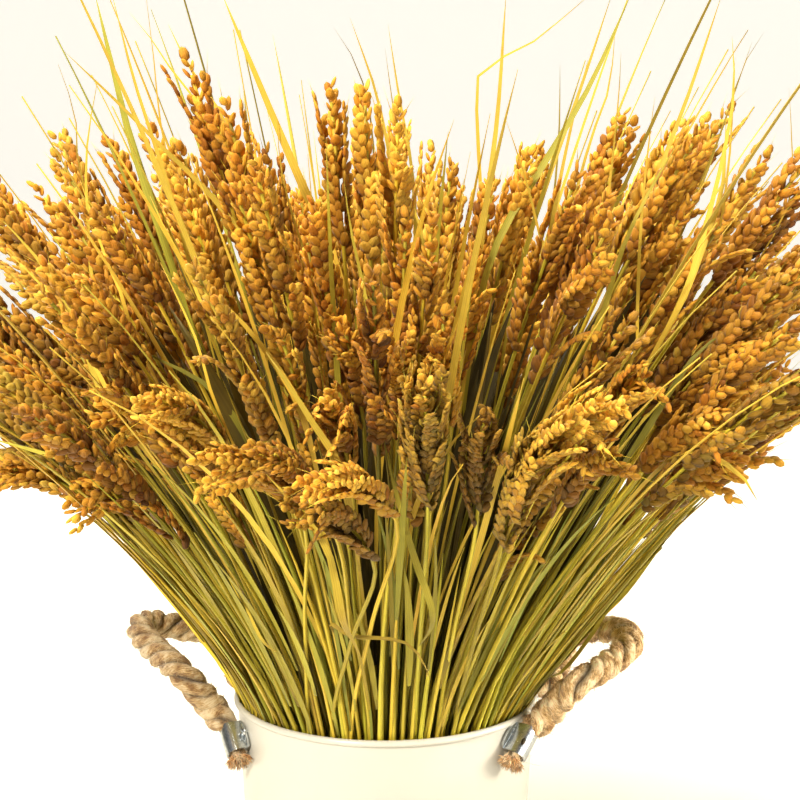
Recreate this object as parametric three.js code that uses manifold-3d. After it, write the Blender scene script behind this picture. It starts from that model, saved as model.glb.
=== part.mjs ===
// A pail of dried rice ears: a cream painted sheet-metal pail with two rope handles, filled with cut rice culms.
// Millimetres, +Z up. The origin is the middle of the pail's foot, on the surface that it stands on.
// The front of the arrangement faces -Y. The handles lie near +X and -X, turned a little about Z.

import * as THREE from "three";
import { mergeVertices } from "three/addons/utils/BufferGeometryUtils.js";
import Module from "manifold-3d";

const wasm = await Module();
wasm.setup();

// Driving dimensions of the pail
const PAIL_HEIGHT = 140;
const WALL_TOP_RADIUS = 69.2;
const WALL_FOOT_RADIUS = 62;
const WALL_THICKNESS = 0.9;
const FOOT_ROUNDING = 1.4;
const RIM_BEAD_RADIUS = 1.5;
const PAIL_FACETS = 32;

// Driving dimensions of the two rope handles and the clips that hold them
const ROPE_RADIUS = 6.8;
const ROPE_RADIUS_IN_CLIP = 3.5;
const ROPE_SIDES = 9;
const ROPE_VALLEY = 0.86;
const ROPE_TURN_PER_STEP = 0.42;
const HANDLE_TURN = THREE.MathUtils.degToRad(-7);
const HANDLES = [
  { name: "right", azimuth: HANDLE_TURN, stretch: 1.5, rearSide: 1, rearRise: 7 },
  { name: "left", azimuth: HANDLE_TURN + Math.PI, stretch: 6, rearSide: -1, rearRise: 0 },
];
const CLIP_OFFSET = THREE.MathUtils.degToRad(32);
const CLIP_LEAN = THREE.MathUtils.degToRad(48);
const CLIP_DROP = 11.8;
const CLIP_LENGTH = 13.5;
const CLIP_SHEET = 1;
const LOBE_REACH = 4.6;
const HOLE_ALONG_LOBE = 2.6;
const RIVET_SHANK_RADIUS = 0.8;
const RIVET_HEAD_RADIUS = 1.6;
const FIT_GAP = 0.3;
const CLIP_GAP = 0.8;

// Driving dimensions of the rice
const ROW_COUNTS = [4, 12, 20, 28, 36, 40, 44];
const SHOOTS_PER_TILLER = 4;
const LEAF_EVERY = 7;
const FOOT_ROW_RADIUS = 50;
const FOOT_SPACING = 3.7;
const ROOT_CROWN_HEIGHT = 6;
const ROOT_CROWN_DEPTH = 4;
const RIM_ROW_RADIUS = 65.2;
const CROWN_EDGE_ANGLE = THREE.MathUtils.degToRad(53);
const CROWN_REACH_UP = 252;
const CROWN_REACH_OUT = 60;
const CULM_RADIUS = 1.7;
const CULM_ARCHING = 1.25;
const PANICLE_LENGTH = 118;
const PANICLE_RADIUS = 11.5;
const GRAIN_RINGS = 6;
const GRAINS_PER_RING = 4;
const GRAIN_ROOT_SHARE = 0.6;
const STAGGER = [1.03, 0.88, 1, 0.91];
const LEAF_REACH = 1.2;
const LEAF_HALF_WIDTH = 3.6;

// How much the top of the crown rises or dips from left to right: [place across, millimetres up]
const CROWN_TOPS = [[-240, 0], [-134, -8], [-88, 12], [-27, 12], [22, -10], [48, -20], [90, -16], [145, 4], [240, 0]];

const FLOOR_TOP = WALL_THICKNESS;
const CULM_FOOT_HEIGHT = FLOOR_TOP + FIT_GAP;
const SHOOT_FOOT_HEIGHT = CULM_FOOT_HEIGHT + 2;
const WALL_SLOPE = (WALL_TOP_RADIUS - WALL_FOOT_RADIUS) / PAIL_HEIGHT;
const CLIP_HEIGHT = PAIL_HEIGHT - CLIP_DROP;
const ROPE_STANDOFF = CLIP_GAP + CLIP_SHEET + ROPE_RADIUS_IN_CLIP;

// Finishes
const creamPaint = new THREE.MeshStandardMaterial({ color: 0xf1eddc, roughness: 0.35, metalness: 0 });
const zincPlate = new THREE.MeshStandardMaterial({ color: 0xaab0b2, roughness: 0.3, metalness: 1 });
const juteRope = new THREE.MeshStandardMaterial({ color: 0xb08a58, roughness: 0.95, metalness: 0 });
const driedRice = new THREE.MeshStandardMaterial({ color: 0xc98f2b, roughness: 0.75, metalness: 0 });

// A number from 0 to 1 that is always the same for the same shoot and purpose.
const draw = (index, purpose) => {
  const mixed = Math.sin((index + 1) * 12.9898 + (purpose + 1) * 78.233) * 43758.5453;
  return mixed - Math.floor(mixed);
};

// Turns a closed three.js geometry into a solid that can be joined and cut.
const solidFromGeometry = (geometry) => {
  const bare = geometry.index ? geometry.toNonIndexed() : geometry.clone();
  bare.deleteAttribute("normal");
  bare.deleteAttribute("uv");
  const merged = mergeVertices(bare, 1e-3);
  return new wasm.Manifold(
    new wasm.Mesh({
      numProp: 3,
      vertProperties: merged.attributes.position.array,
      triVerts: new Uint32Array(merged.index.array),
    }),
  );
};

// Turns a list of points and a list of corner triples into a solid.
const solidFromTriangles = (points, corners) =>
  new wasm.Manifold(
    new wasm.Mesh({
      numProp: 3,
      vertProperties: Float32Array.from(points.flatMap((p) => [p.x, p.y, p.z])),
      triVerts: Uint32Array.from(corners),
    }),
  );

// Turns a solid into a named mesh. bend, where given, moves each vertex to its final place.
const meshFromSolid = (name, solid, material, bend = null) => {
  const { vertProperties, triVerts, numProp } = solid.getMesh();
  const position = new Float32Array((vertProperties.length / numProp) * 3);
  for (let i = 0; i < position.length / 3; i++) {
    const point = new THREE.Vector3().fromArray(vertProperties, i * numProp);
    (bend ? bend(point) : point).toArray(position, i * 3);
  }
  const geometry = new THREE.BufferGeometry();
  geometry.setAttribute("position", new THREE.BufferAttribute(position, 3));
  geometry.setIndex(new THREE.BufferAttribute(new Uint32Array(triVerts), 1));
  const mesh = new THREE.Mesh(geometry, material);
  mesh.name = name;
  return mesh;
};

// Skins a row of rings of points, each ring evenly spaced from its own `turn`. Neighbouring rings may differ in count.
// Each end is closed by a fan to its own point.
const skinRings = (rings, startPoint, endPoint) => {
  const points = [startPoint];
  const starts = rings.map((ring) => points.push(...ring.points) - ring.points.length);
  const last = points.push(endPoint) - 1;
  const corners = [];
  const at = (ring, side) => starts[ring] + (side % rings[ring].points.length);
  const angle = (ring, side) => (side + (rings[ring].turn ?? 0)) / rings[ring].points.length;
  rings[0].points.forEach((_, side) => corners.push(0, at(0, side + 1), at(0, side)));
  for (let ring = 0; ring < rings.length - 1; ring++) {
    const [lowCount, highCount] = [rings[ring].points.length, rings[ring + 1].points.length];
    let [low, high] = [0, 0];
    while (low < lowCount || high < highCount) {
      const lowNext = high >= highCount || (low < lowCount && angle(ring, low + 1) <= angle(ring + 1, high + 1));
      corners.push(at(ring, low), lowNext ? at(ring, low + 1) : at(ring + 1, high + 1), at(ring + 1, high));
      if (lowNext) low += 1;
      else high += 1;
    }
  }
  const end = rings.length - 1;
  rings[end].points.forEach((_, side) => corners.push(last, at(end, side), at(end, side + 1)));
  return solidFromTriangles(points, corners);
};

// The pail's wall radius, outside, at a height.
const wallRadius = (height) => WALL_FOOT_RADIUS + WALL_SLOPE * height;

// The place on the pail's wall that is `along` millimetres round from an azimuth, `up` from a height and `out` from the wall.
const onWall = (azimuth, height, along, up, out) => {
  const z = height + up;
  const radius = wallRadius(z) + out;
  const angle = azimuth + along / wallRadius(height);
  return new THREE.Vector3(radius * Math.cos(angle), radius * Math.sin(angle), z);
};

// The pail: a flat floor and a tapered wall with a rolled bead at the rim.
const makePail = (holes) => {
  const inner = (height) => wallRadius(height) - WALL_THICKNESS;
  const beadMiddle = PAIL_HEIGHT - RIM_BEAD_RADIUS;
  const underBead = PAIL_HEIGHT - 2 * RIM_BEAD_RADIUS;
  const profile = [[0, 0], [wallRadius(0) - FOOT_ROUNDING, 0], [wallRadius(FOOT_ROUNDING), FOOT_ROUNDING]];
  profile.push([wallRadius(underBead), underBead]);
  for (let step = 0; step <= 3; step++) {
    const angle = THREE.MathUtils.degToRad(-65 + step * 65);
    const radius = wallRadius(beadMiddle) + RIM_BEAD_RADIUS * (0.2 + Math.cos(angle));
    profile.push([radius, beadMiddle + RIM_BEAD_RADIUS * Math.sin(angle)]);
  }
  profile.push([inner(PAIL_HEIGHT - 4), PAIL_HEIGHT - 4], [inner(FLOOR_TOP + 1), FLOOR_TOP + 1]);
  profile.push([inner(0) - FOOT_ROUNDING, FLOOR_TOP], [0, FLOOR_TOP]);
  const outline = profile.map(([radius, height]) => new THREE.Vector2(radius, height));
  const turned = new THREE.LatheGeometry(outline, PAIL_FACETS).rotateX(Math.PI / 2);
  return holes.reduce((pail, hole) => pail.subtract(hole), solidFromGeometry(turned));
};

// Where a point of a clip's flat pattern goes: x lies across the rope, y along it, z out from the wall.
const clipPlace = (azimuth, lean) => (point) => {
  const along = point.x * Math.cos(lean) - point.y * Math.sin(lean);
  const up = point.x * Math.sin(lean) + point.y * Math.cos(lean);
  return onWall(azimuth, CLIP_HEIGHT, along, up, point.z);
};

// The clip's flat pattern: a strap over the rope with a rounded lobe on each side, one of them holed for the rivet.
const STRAP_INSIDE = ROPE_RADIUS_IN_CLIP + 2.5 * FIT_GAP;
const makeClipPattern = () => {
  const strapOutside = STRAP_INSIDE + CLIP_SHEET;
  const arch = new THREE.Shape();
  arch.moveTo(-strapOutside, CLIP_GAP);
  arch.lineTo(-STRAP_INSIDE, CLIP_GAP);
  arch.lineTo(-STRAP_INSIDE, ROPE_STANDOFF);
  arch.absarc(0, ROPE_STANDOFF, STRAP_INSIDE, Math.PI, 0, true);
  arch.lineTo(STRAP_INSIDE, CLIP_GAP);
  arch.lineTo(strapOutside, CLIP_GAP);
  arch.lineTo(strapOutside, ROPE_STANDOFF);
  arch.absarc(0, ROPE_STANDOFF, strapOutside, 0, Math.PI, false);
  const strapSettings = { depth: CLIP_LENGTH, bevelEnabled: false, curveSegments: 4 };
  const strap = new THREE.ExtrudeGeometry(arch, strapSettings).rotateX(Math.PI / 2);
  strap.translate(0, CLIP_LENGTH / 2, 0);
  const lobe = new THREE.Shape();
  lobe.moveTo(0, -CLIP_LENGTH / 2);
  lobe.absellipse(0, 0, LOBE_REACH, CLIP_LENGTH / 2, -Math.PI / 2, Math.PI / 2, false);
  const lobeSettings = { depth: CLIP_SHEET, bevelEnabled: false, curveSegments: 4 };
  const plainLobe = new THREE.ExtrudeGeometry(lobe, lobeSettings).rotateZ(Math.PI);
  plainLobe.translate(-STRAP_INSIDE - 0.2, 0, CLIP_GAP);
  const hole = new THREE.Path();
  hole.absarc(HOLE_ALONG_LOBE, 0, RIVET_SHANK_RADIUS + FIT_GAP, 0, Math.PI * 2, true);
  lobe.holes.push(hole);
  const holedLobe = new THREE.ExtrudeGeometry(lobe, lobeSettings);
  holedLobe.translate(STRAP_INSIDE + 0.2, 0, CLIP_GAP);
  return [strap, plainLobe, holedLobe].map(solidFromGeometry).reduce((all, next) => all.add(next));
};

// A rivet's flat pattern, standing on the wall at the middle of the holed lobe.
const RIVET_ACROSS = STRAP_INSIDE + 0.2 + HOLE_ALONG_LOBE;
const makeRivetPattern = () => {
  const inside = -WALL_THICKNESS - 2 * FIT_GAP;
  const seat = CLIP_GAP + CLIP_SHEET + FIT_GAP;
  const outline = [
    [0, inside - 1],
    [RIVET_HEAD_RADIUS * 0.8, inside - 0.8],
    [RIVET_HEAD_RADIUS * 0.8, inside],
    [RIVET_SHANK_RADIUS, inside],
    [RIVET_SHANK_RADIUS, seat],
    [RIVET_HEAD_RADIUS, seat],
    [RIVET_HEAD_RADIUS * 0.7, seat + 1.1],
    [0, seat + 1.4],
  ].map(([radius, height]) => new THREE.Vector2(radius, height));
  const turned = new THREE.LatheGeometry(outline, 7).rotateX(Math.PI / 2);
  return solidFromGeometry(turned.translate(RIVET_ACROSS, 0, 0));
};

// The hole in the pail's wall for one rivet, already in its place.
const makeRivetHole = (azimuth, lean) => {
  const place = clipPlace(azimuth, lean);
  const ring = (out) =>
    Array.from({ length: 8 }, (_, side) => {
      const angle = (side / 8) * Math.PI * 2;
      const reach = RIVET_SHANK_RADIUS + FIT_GAP;
      const x = RIVET_ACROSS + reach * Math.cos(angle);
      return place(new THREE.Vector3(x, reach * Math.sin(angle), out));
    });
  const ends = [-3, 3].map((out) => place(new THREE.Vector3(RIVET_ACROSS, 0, out)));
  return skinRings([{ points: ring(-3) }, { points: ring(3) }], ends[0], ends[1]);
};

// A rope handle's centre line and radius, from one cut end through its clip, out over the rim and back.
const handleRoute = ({ azimuth, stretch, rearSide, rearRise }) => {
  const legEnd = (side) => {
    const place = clipPlace(azimuth + side * CLIP_OFFSET, side * CLIP_LEAN);
    const at = (distance, out) => place(new THREE.Vector3(0, distance, ROPE_STANDOFF + out));
    return [
      { point: at(-CLIP_LENGTH / 2 - 4.5, 0.6), radius: ROPE_RADIUS - 1.4 },
      { point: at(-CLIP_LENGTH / 2 - 0.6, 0), radius: ROPE_RADIUS_IN_CLIP },
      { point: at(0, 0), radius: ROPE_RADIUS_IN_CLIP },
      { point: at(CLIP_LENGTH / 2 + 2, 0), radius: ROPE_RADIUS_IN_CLIP },
      { point: at(CLIP_LENGTH / 2 + 6, 4.4), radius: ROPE_RADIUS - 0.5 },
    ];
  };
  const arch = [
    [86, 31, 14],
    [100, 20, 21],
    [108.5, 10, 25.5],
    [111.5, 0, 27],
  ];
  const archPoint = (side, [out, across, above]) => {
    const reach = out + (stretch * above) / arch[3][2];
    const rise = side === rearSide ? rearRise * Math.sin((across / arch[0][1]) * 0.5 * Math.PI) : 0;
    const point = new THREE.Vector3(
      reach * Math.cos(azimuth) - side * across * Math.sin(azimuth),
      reach * Math.sin(azimuth) + side * across * Math.cos(azimuth),
      PAIL_HEIGHT + above + rise,
    );
    return { point, radius: ROPE_RADIUS };
  };
  const first = [...legEnd(-1), ...arch.map((place) => archPoint(-1, place))];
  const second = [...legEnd(1), ...arch.slice(0, -1).map((place) => archPoint(1, place))];
  return [...first, ...second.reverse()];
};

// A laid rope as one solid: a three-lobed section that turns as it goes along its route.
const makeRope = (handle) => {
  const { azimuth } = handle;
  const route = handleRoute(handle);
  const line = new THREE.CatmullRomCurve3(route.map((stop) => stop.point), false, "centripetal");
  const stepsPerStop = 2;
  const steps = (route.length - 1) * stepsPerStop;
  const rings = [];
  for (let step = 0; step <= steps; step++) {
    const stop = Math.min(Math.floor(step / stepsPerStop), route.length - 2);
    const share = step / stepsPerStop - stop;
    const radius = THREE.MathUtils.lerp(route[stop].radius, route[stop + 1].radius, share);
    const middle = line.getPoint(step / steps);
    const tangent = line.getTangent(step / steps);
    const across = new THREE.Vector3(Math.cos(azimuth), Math.sin(azimuth), 0.4);
    across.addScaledVector(tangent, -across.dot(tangent)).normalize();
    const beside = new THREE.Vector3().crossVectors(tangent, across);
    const points = Array.from({ length: ROPE_SIDES }, (_, side) => {
      const angle = (side / ROPE_SIDES) * Math.PI * 2 + step * ROPE_TURN_PER_STEP;
      const reach = radius * (side % 3 === 0 ? ROPE_VALLEY : 1);
      return middle
        .clone()
        .addScaledVector(across, reach * Math.cos(angle))
        .addScaledVector(beside, reach * Math.sin(angle));
    });
    rings.push({ points });
  }
  return skinRings(rings, line.getPoint(0), line.getPoint(1));
};

// The line that one culm grows along: up from the pail's floor to the rim, then outwards and over to its tip.
class CulmLine extends THREE.Curve {
  constructor(shoot) {
    super();
    Object.assign(this, shoot);
    this.rimRise = (PAIL_HEIGHT - SHOOT_FOOT_HEIGHT) / (this.tipHeight - SHOOT_FOOT_HEIGHT);
    this.arcLengthDivisions = 120;
  }
  getPoint(rise, target = new THREE.Vector3()) {
    const inside = Math.min(rise / this.rimRise, 1) ** 1.5;
    const outside = Math.max((rise - this.rimRise) / (1 - this.rimRise), 0) ** CULM_ARCHING;
    const leaned = this.footRadius + (this.rimRadius - this.footRadius) * inside;
    const radius = leaned + (this.tipRadius - this.rimRadius) * outside;
    const gathered = (1 - rise) ** 6;
    const angle = this.azimuth + (this.tillerAzimuth - this.azimuth) * gathered;
    const height = SHOOT_FOOT_HEIGHT + (this.tipHeight - SHOOT_FOOT_HEIGHT) * rise;
    const beside = this.footOffset * gathered;
    const x = radius * Math.cos(angle) - beside * Math.sin(this.tillerAzimuth);
    const y = radius * Math.sin(angle) + beside * Math.cos(this.tillerAzimuth);
    return target.set(x, y, height);
  }
  // The share of the line's length at which it leaves the pail.
  rimShare() {
    const lengths = this.getLengths();
    return lengths[Math.round(this.rimRise * (lengths.length - 1))] / this.getLength();
  }
  // Two directions square to the line at a share of its length: sideways, then towards its outer side.
  across(share) {
    const tangent = this.getTangentAt(share);
    const angle = this.azimuth;
    const sideways = new THREE.Vector3(-Math.sin(angle), Math.cos(angle), 0);
    sideways.addScaledVector(tangent, -sideways.dot(tangent)).normalize();
    return [sideways, new THREE.Vector3().crossVectors(sideways, tangent)];
  }
  ring(share, sides, turn, width, depth) {
    const middle = this.getPointAt(share);
    const [sideways, outwards] = this.across(share);
    const points = Array.from({ length: sides }, (_, side) => {
      const angle = ((side + turn) / sides) * Math.PI * 2;
      return middle
        .clone()
        .addScaledVector(sideways, width * Math.cos(angle))
        .addScaledVector(outwards, -depth * Math.sin(angle));
    });
    return { points, turn };
  }
}

// The crown's uneven top: how far a tip at a place across rises above the even dome.
const unevenness = (across) => {
  const next = Math.max(1, CROWN_TOPS.findIndex(([place]) => place > across));
  const [[from, low], [to, high]] = [CROWN_TOPS[next - 1], CROWN_TOPS[next]];
  return THREE.MathUtils.mapLinear(THREE.MathUtils.clamp(across, from, to), from, to, low, high);
};

// Every shoot's place: rows nested from the middle out, each row spread evenly round the pail.
const layOutShoots = () => {
  const shoots = [];
  ROW_COUNTS.forEach((count, row) => {
    const share = (row + 1) / ROW_COUNTS.length;
    const spacing = (Math.PI * 2) / count;
    for (let place = 0; place < count; place++) {
      const index = shoots.length;
      const tiller = Math.floor(place / SHOOTS_PER_TILLER);
      const isLeaf = index % LEAF_EVERY === 3;
      const azimuth = (place + 0.4 * row + 0.2 * (draw(index, 0) - 0.5)) * spacing;
      const middle = tiller * SHOOTS_PER_TILLER + (SHOOTS_PER_TILLER - 1) / 2;
      const slope = share * CROWN_EDGE_ANGLE + 0.04 * (draw(index, 1) - 0.5);
      const dome = CROWN_REACH_UP + CROWN_REACH_OUT * Math.sin((slope / CROWN_EDGE_ANGLE) * Math.PI * 0.85);
      const stagger = STAGGER[place % STAGGER.length] + 0.03 * (draw(index, 2) - 0.5);
      const reach = dome * (isLeaf ? LEAF_REACH + 0.12 * draw(index, 2) : stagger);
      const tipRadius = reach * Math.sin(slope);
      const lift = unevenness(tipRadius * Math.cos(azimuth)) * Math.cos(slope) ** 2;
      shoots.push({
        index,
        isLeaf,
        azimuth,
        tiller: `${row}-${tiller}`,
        tillerAzimuth: (middle + 0.4 * row) * spacing,
        footOffset: (place - middle) * FOOT_SPACING,
        footRadius: row ? FOOT_ROW_RADIUS * share : 0,
        rimRadius: RIM_ROW_RADIUS * share,
        tipRadius,
        tipHeight: PAIL_HEIGHT + reach * Math.cos(slope) + lift,
      });
    }
  });
  return shoots;
};

// A culm with its panicle: a slim three-sided stem, then rings of grains that stand out of a narrower core.
const makeEar = (line, shoot) => {
  const length = line.getLength();
  const panicleStart = 1 - PANICLE_LENGTH / length;
  const stemShares = [0, line.rimShare(), (line.rimShare() + panicleStart) / 2, panicleStart];
  const rings = stemShares.map((share) => line.ring(share, 3, 0.25, CULM_RADIUS, CULM_RADIUS));
  for (let ring = 0; ring < GRAIN_RINGS; ring++) {
    const standsOut = ring % 2 === 1;
    const along = (ring + (standsOut ? 0.8 : 0.55)) / (GRAIN_RINGS + 0.2);
    const plump = Math.sin(Math.PI * along ** 0.9) ** 0.55;
    const radius = PANICLE_RADIUS * (0.9 + 0.1 * draw(shoot.index, 5)) * plump;
    const reach = standsOut ? radius : radius * GRAIN_ROOT_SHARE;
    const share = panicleStart + (along * PANICLE_LENGTH) / length;
    rings.push(line.ring(share, GRAINS_PER_RING, standsOut ? 0.5 : 0, reach, reach));
  }
  return skinRings(rings, line.getPointAt(0), line.getPointAt(1));
};

// A leafy shoot: a slim stem that opens into a long keeled blade and tapers to a point.
const makeLeaf = (line) => {
  const stations = [
    [0, CULM_RADIUS, CULM_RADIUS],
    [line.rimShare(), CULM_RADIUS, CULM_RADIUS],
    [0.52, LEAF_HALF_WIDTH, 0.9],
    [0.66, LEAF_HALF_WIDTH, 0.8],
    [0.8, LEAF_HALF_WIDTH * 0.8, 0.7],
    [0.92, LEAF_HALF_WIDTH * 0.45, 0.6],
  ];
  const rings = stations.map(([share, width, depth]) => line.ring(share, 3, 0.25, width, depth));
  return skinRings(rings, line.getPointAt(0), line.getPointAt(1));
};

// The short root crown that the shoots of one tiller stand in.
const makeRootCrown = ({ tillerAzimuth, footRadius }) => {
  const width = FOOT_SPACING * (SHOOTS_PER_TILLER - 1) + 2 * CULM_RADIUS + 1;
  const block = new THREE.BoxGeometry(ROOT_CROWN_DEPTH, width, ROOT_CROWN_HEIGHT);
  block.translate(footRadius, 0, CULM_FOOT_HEIGHT + ROOT_CROWN_HEIGHT / 2);
  return solidFromGeometry(block.rotateZ(tillerAzimuth));
};

const dressedPail = new THREE.Group();

const clipSpots = [];
for (const handle of HANDLES) {
  for (const side of [-1, 1]) {
    const number = clipSpots.length + 1;
    clipSpots.push({ number, azimuth: handle.azimuth + side * CLIP_OFFSET, lean: side * CLIP_LEAN });
  }
  dressedPail.add(meshFromSolid(`rope_handle_${handle.name}`, makeRope(handle), juteRope));
}

const clipPattern = makeClipPattern();
const rivetPattern = makeRivetPattern();
for (const { number, azimuth, lean } of clipSpots) {
  const place = clipPlace(azimuth, lean);
  dressedPail.add(meshFromSolid(`rope_clip_${number}`, clipPattern, zincPlate, place));
  dressedPail.add(meshFromSolid(`clip_rivet_${number}`, rivetPattern, zincPlate, place));
}

const holes = clipSpots.map(({ azimuth, lean }) => makeRivetHole(azimuth, lean));
dressedPail.add(meshFromSolid("pail", makePail(holes), creamPaint));

// Each tiller is one node: its shoots grow from one root crown.
const tillers = new Map();
for (const shoot of layOutShoots()) {
  const line = new CulmLine(shoot);
  const grown = shoot.isLeaf ? makeLeaf(line) : makeEar(line, shoot);
  const sofar = tillers.get(shoot.tiller) ?? makeRootCrown(shoot);
  tillers.set(shoot.tiller, sofar.add(grown));
}
let tillerNumber = 0;
for (const solid of tillers.values()) {
  tillerNumber += 1;
  const name = `rice_tiller_${String(tillerNumber).padStart(2, "0")}`;
  dressedPail.add(meshFromSolid(name, solid, driedRice));
}

export default dressedPail;
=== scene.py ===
"""Looks for a pail of dried rice ears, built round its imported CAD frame.

The frame is in metres with +Z up. Sizes in this file are millimetres unless a name says otherwise, and
each finished piece is turned to metres when its mesh is made.
"""

import logging
import math
from collections.abc import Callable
from dataclasses import dataclass, field, replace
from enum import Enum

import bpy
import numpy as np
from bpy.types import Material, NodeSocket, NodeTree, Object
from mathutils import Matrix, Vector

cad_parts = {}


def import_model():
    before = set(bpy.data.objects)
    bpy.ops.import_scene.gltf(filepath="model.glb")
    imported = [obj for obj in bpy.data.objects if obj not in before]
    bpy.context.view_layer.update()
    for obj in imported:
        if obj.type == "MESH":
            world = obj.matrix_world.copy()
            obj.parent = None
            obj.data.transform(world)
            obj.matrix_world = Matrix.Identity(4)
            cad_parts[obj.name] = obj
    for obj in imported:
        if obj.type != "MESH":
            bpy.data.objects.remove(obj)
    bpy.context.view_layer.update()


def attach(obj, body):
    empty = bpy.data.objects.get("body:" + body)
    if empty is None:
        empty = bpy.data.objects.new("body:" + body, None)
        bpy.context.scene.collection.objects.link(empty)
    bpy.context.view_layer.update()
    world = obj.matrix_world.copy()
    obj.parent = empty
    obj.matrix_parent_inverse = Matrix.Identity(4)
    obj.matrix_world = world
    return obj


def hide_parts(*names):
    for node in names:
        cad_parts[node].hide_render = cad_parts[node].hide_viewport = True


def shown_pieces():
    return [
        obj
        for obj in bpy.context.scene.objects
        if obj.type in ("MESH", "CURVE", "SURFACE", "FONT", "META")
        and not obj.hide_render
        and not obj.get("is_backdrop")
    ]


LOG = logging.getLogger("rice_pail")
MM = 0.001
TURN = 2 * math.pi
# The turn from one blade to the next that spreads them evenly, in radians
GOLDEN_ANGLE = 2.39996
UP = np.array([0.0, 0.0, 1.0])
TONE = "tone"

# Short names for types that recur
Array = np.ndarray
Random = np.random.Generator
Tone = tuple[float, float, float]
Point = tuple[float, float]
Point3 = tuple[float, float, float]

# Driving sizes, shared with the CAD but for the clips' places, which follow the photograph
PAIL_HEIGHT = 140.0
WALL_TOP_RADIUS = 69.2
WALL_FOOT_RADIUS = 62.0
WALL_SLOPE = (WALL_TOP_RADIUS - WALL_FOOT_RADIUS) / PAIL_HEIGHT
WALL_THICKNESS = 0.9
RIM_BEAD_RADIUS = 1.5
HANDLE_TURN = math.radians(-7)
CLIP_OFFSET = math.radians(28.5)
CLIP_LEAN = math.radians(48)
CLIP_HEIGHT = PAIL_HEIGHT - 11.8
CLIP_LENGTH = 13.5
CLIP_SHEET = 1.0
CLIP_GAP = 0.8
ROPE_RADIUS = 6.8
ROPE_RADIUS_IN_CLIP = 3.5
ROPE_STANDOFF = CLIP_GAP + CLIP_SHEET + ROPE_RADIUS_IN_CLIP


class RicePart(Enum):
    """Which finish a face of a rice piece takes."""

    STRAW = 0
    BLADE = 1
    HUSK = 2


class Lay(Enum):
    """Which way a rope's strands turn as they go away from the eye."""

    S = -1.0
    Z = 1.0


class DrawBase(Enum):
    """The first draw number of each group of shoots that stand between the CAD's rows."""

    EARS_BETWEEN = 1000
    RIM_CULMS = 3000
    SHEATH_BLADES = 5000
    THIN_BLADES = 7000
    INNER_BLADES = 9000


def linear(hex_colour: str) -> tuple[float, float, float, float]:
    """Turns an sRGB hex colour to a linear one.

    Args:
        hex_colour: A hash and six hex digits.

    Returns:
        Linear red, green, blue and an alpha of 1.
    """
    parts = [int(hex_colour[i : i + 2], 16) / 255 for i in (1, 3, 5)]
    line = [c / 12.92 if c <= 0.04045 else ((c + 0.055) / 1.055) ** 2.4 for c in parts]
    return (line[0], line[1], line[2], 1.0)


def draw(index: int, purpose: int) -> float:
    """Gives a number from 0 to 1 that is always the same for the same shoot and purpose.

    Args:
        index: The shoot's number.
        purpose: What the number is for.

    Returns:
        The number, as the CAD draws it.
    """
    mixed = math.sin((index + 1) * 12.9898 + (purpose + 1) * 78.233) * 43758.5453
    return mixed - math.floor(mixed)


def wall_radius(height: float | Array) -> float | Array:
    """Gives the pail wall's outer radius at a height."""
    return WALL_FOOT_RADIUS + WALL_SLOPE * height


def add_node(tree: NodeTree, kind: str, output: str | int, settings: dict) -> NodeSocket:
    """Adds a node with its settings and links.

    Args:
        tree: The node tree that the node goes into.
        kind: The node's type name after the words ShaderNode.
        output: The output to give back, by name or number.
        settings: Properties by name, a ramp's stops, and inputs by name or number. A socket is linked to
            its input, and any other value is set there.

    Returns:
        The new node's output.
    """
    node = tree.nodes.new("ShaderNode" + kind)
    for key, value in settings.items():
        if isinstance(value, NodeSocket):
            tree.links.new(value, node.inputs[key])
        elif key == "stops":
            ramp = node.color_ramp.elements
            while len(ramp) < len(value):
                ramp.new(0.5)
            for element, (place, colour) in zip(ramp, value):
                element.position, element.color = place, linear(colour)
        elif key in node.bl_rna.properties.keys():
            setattr(node, key, value)
        else:
            node.inputs[key].default_value = value
    return node.outputs[output]


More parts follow.
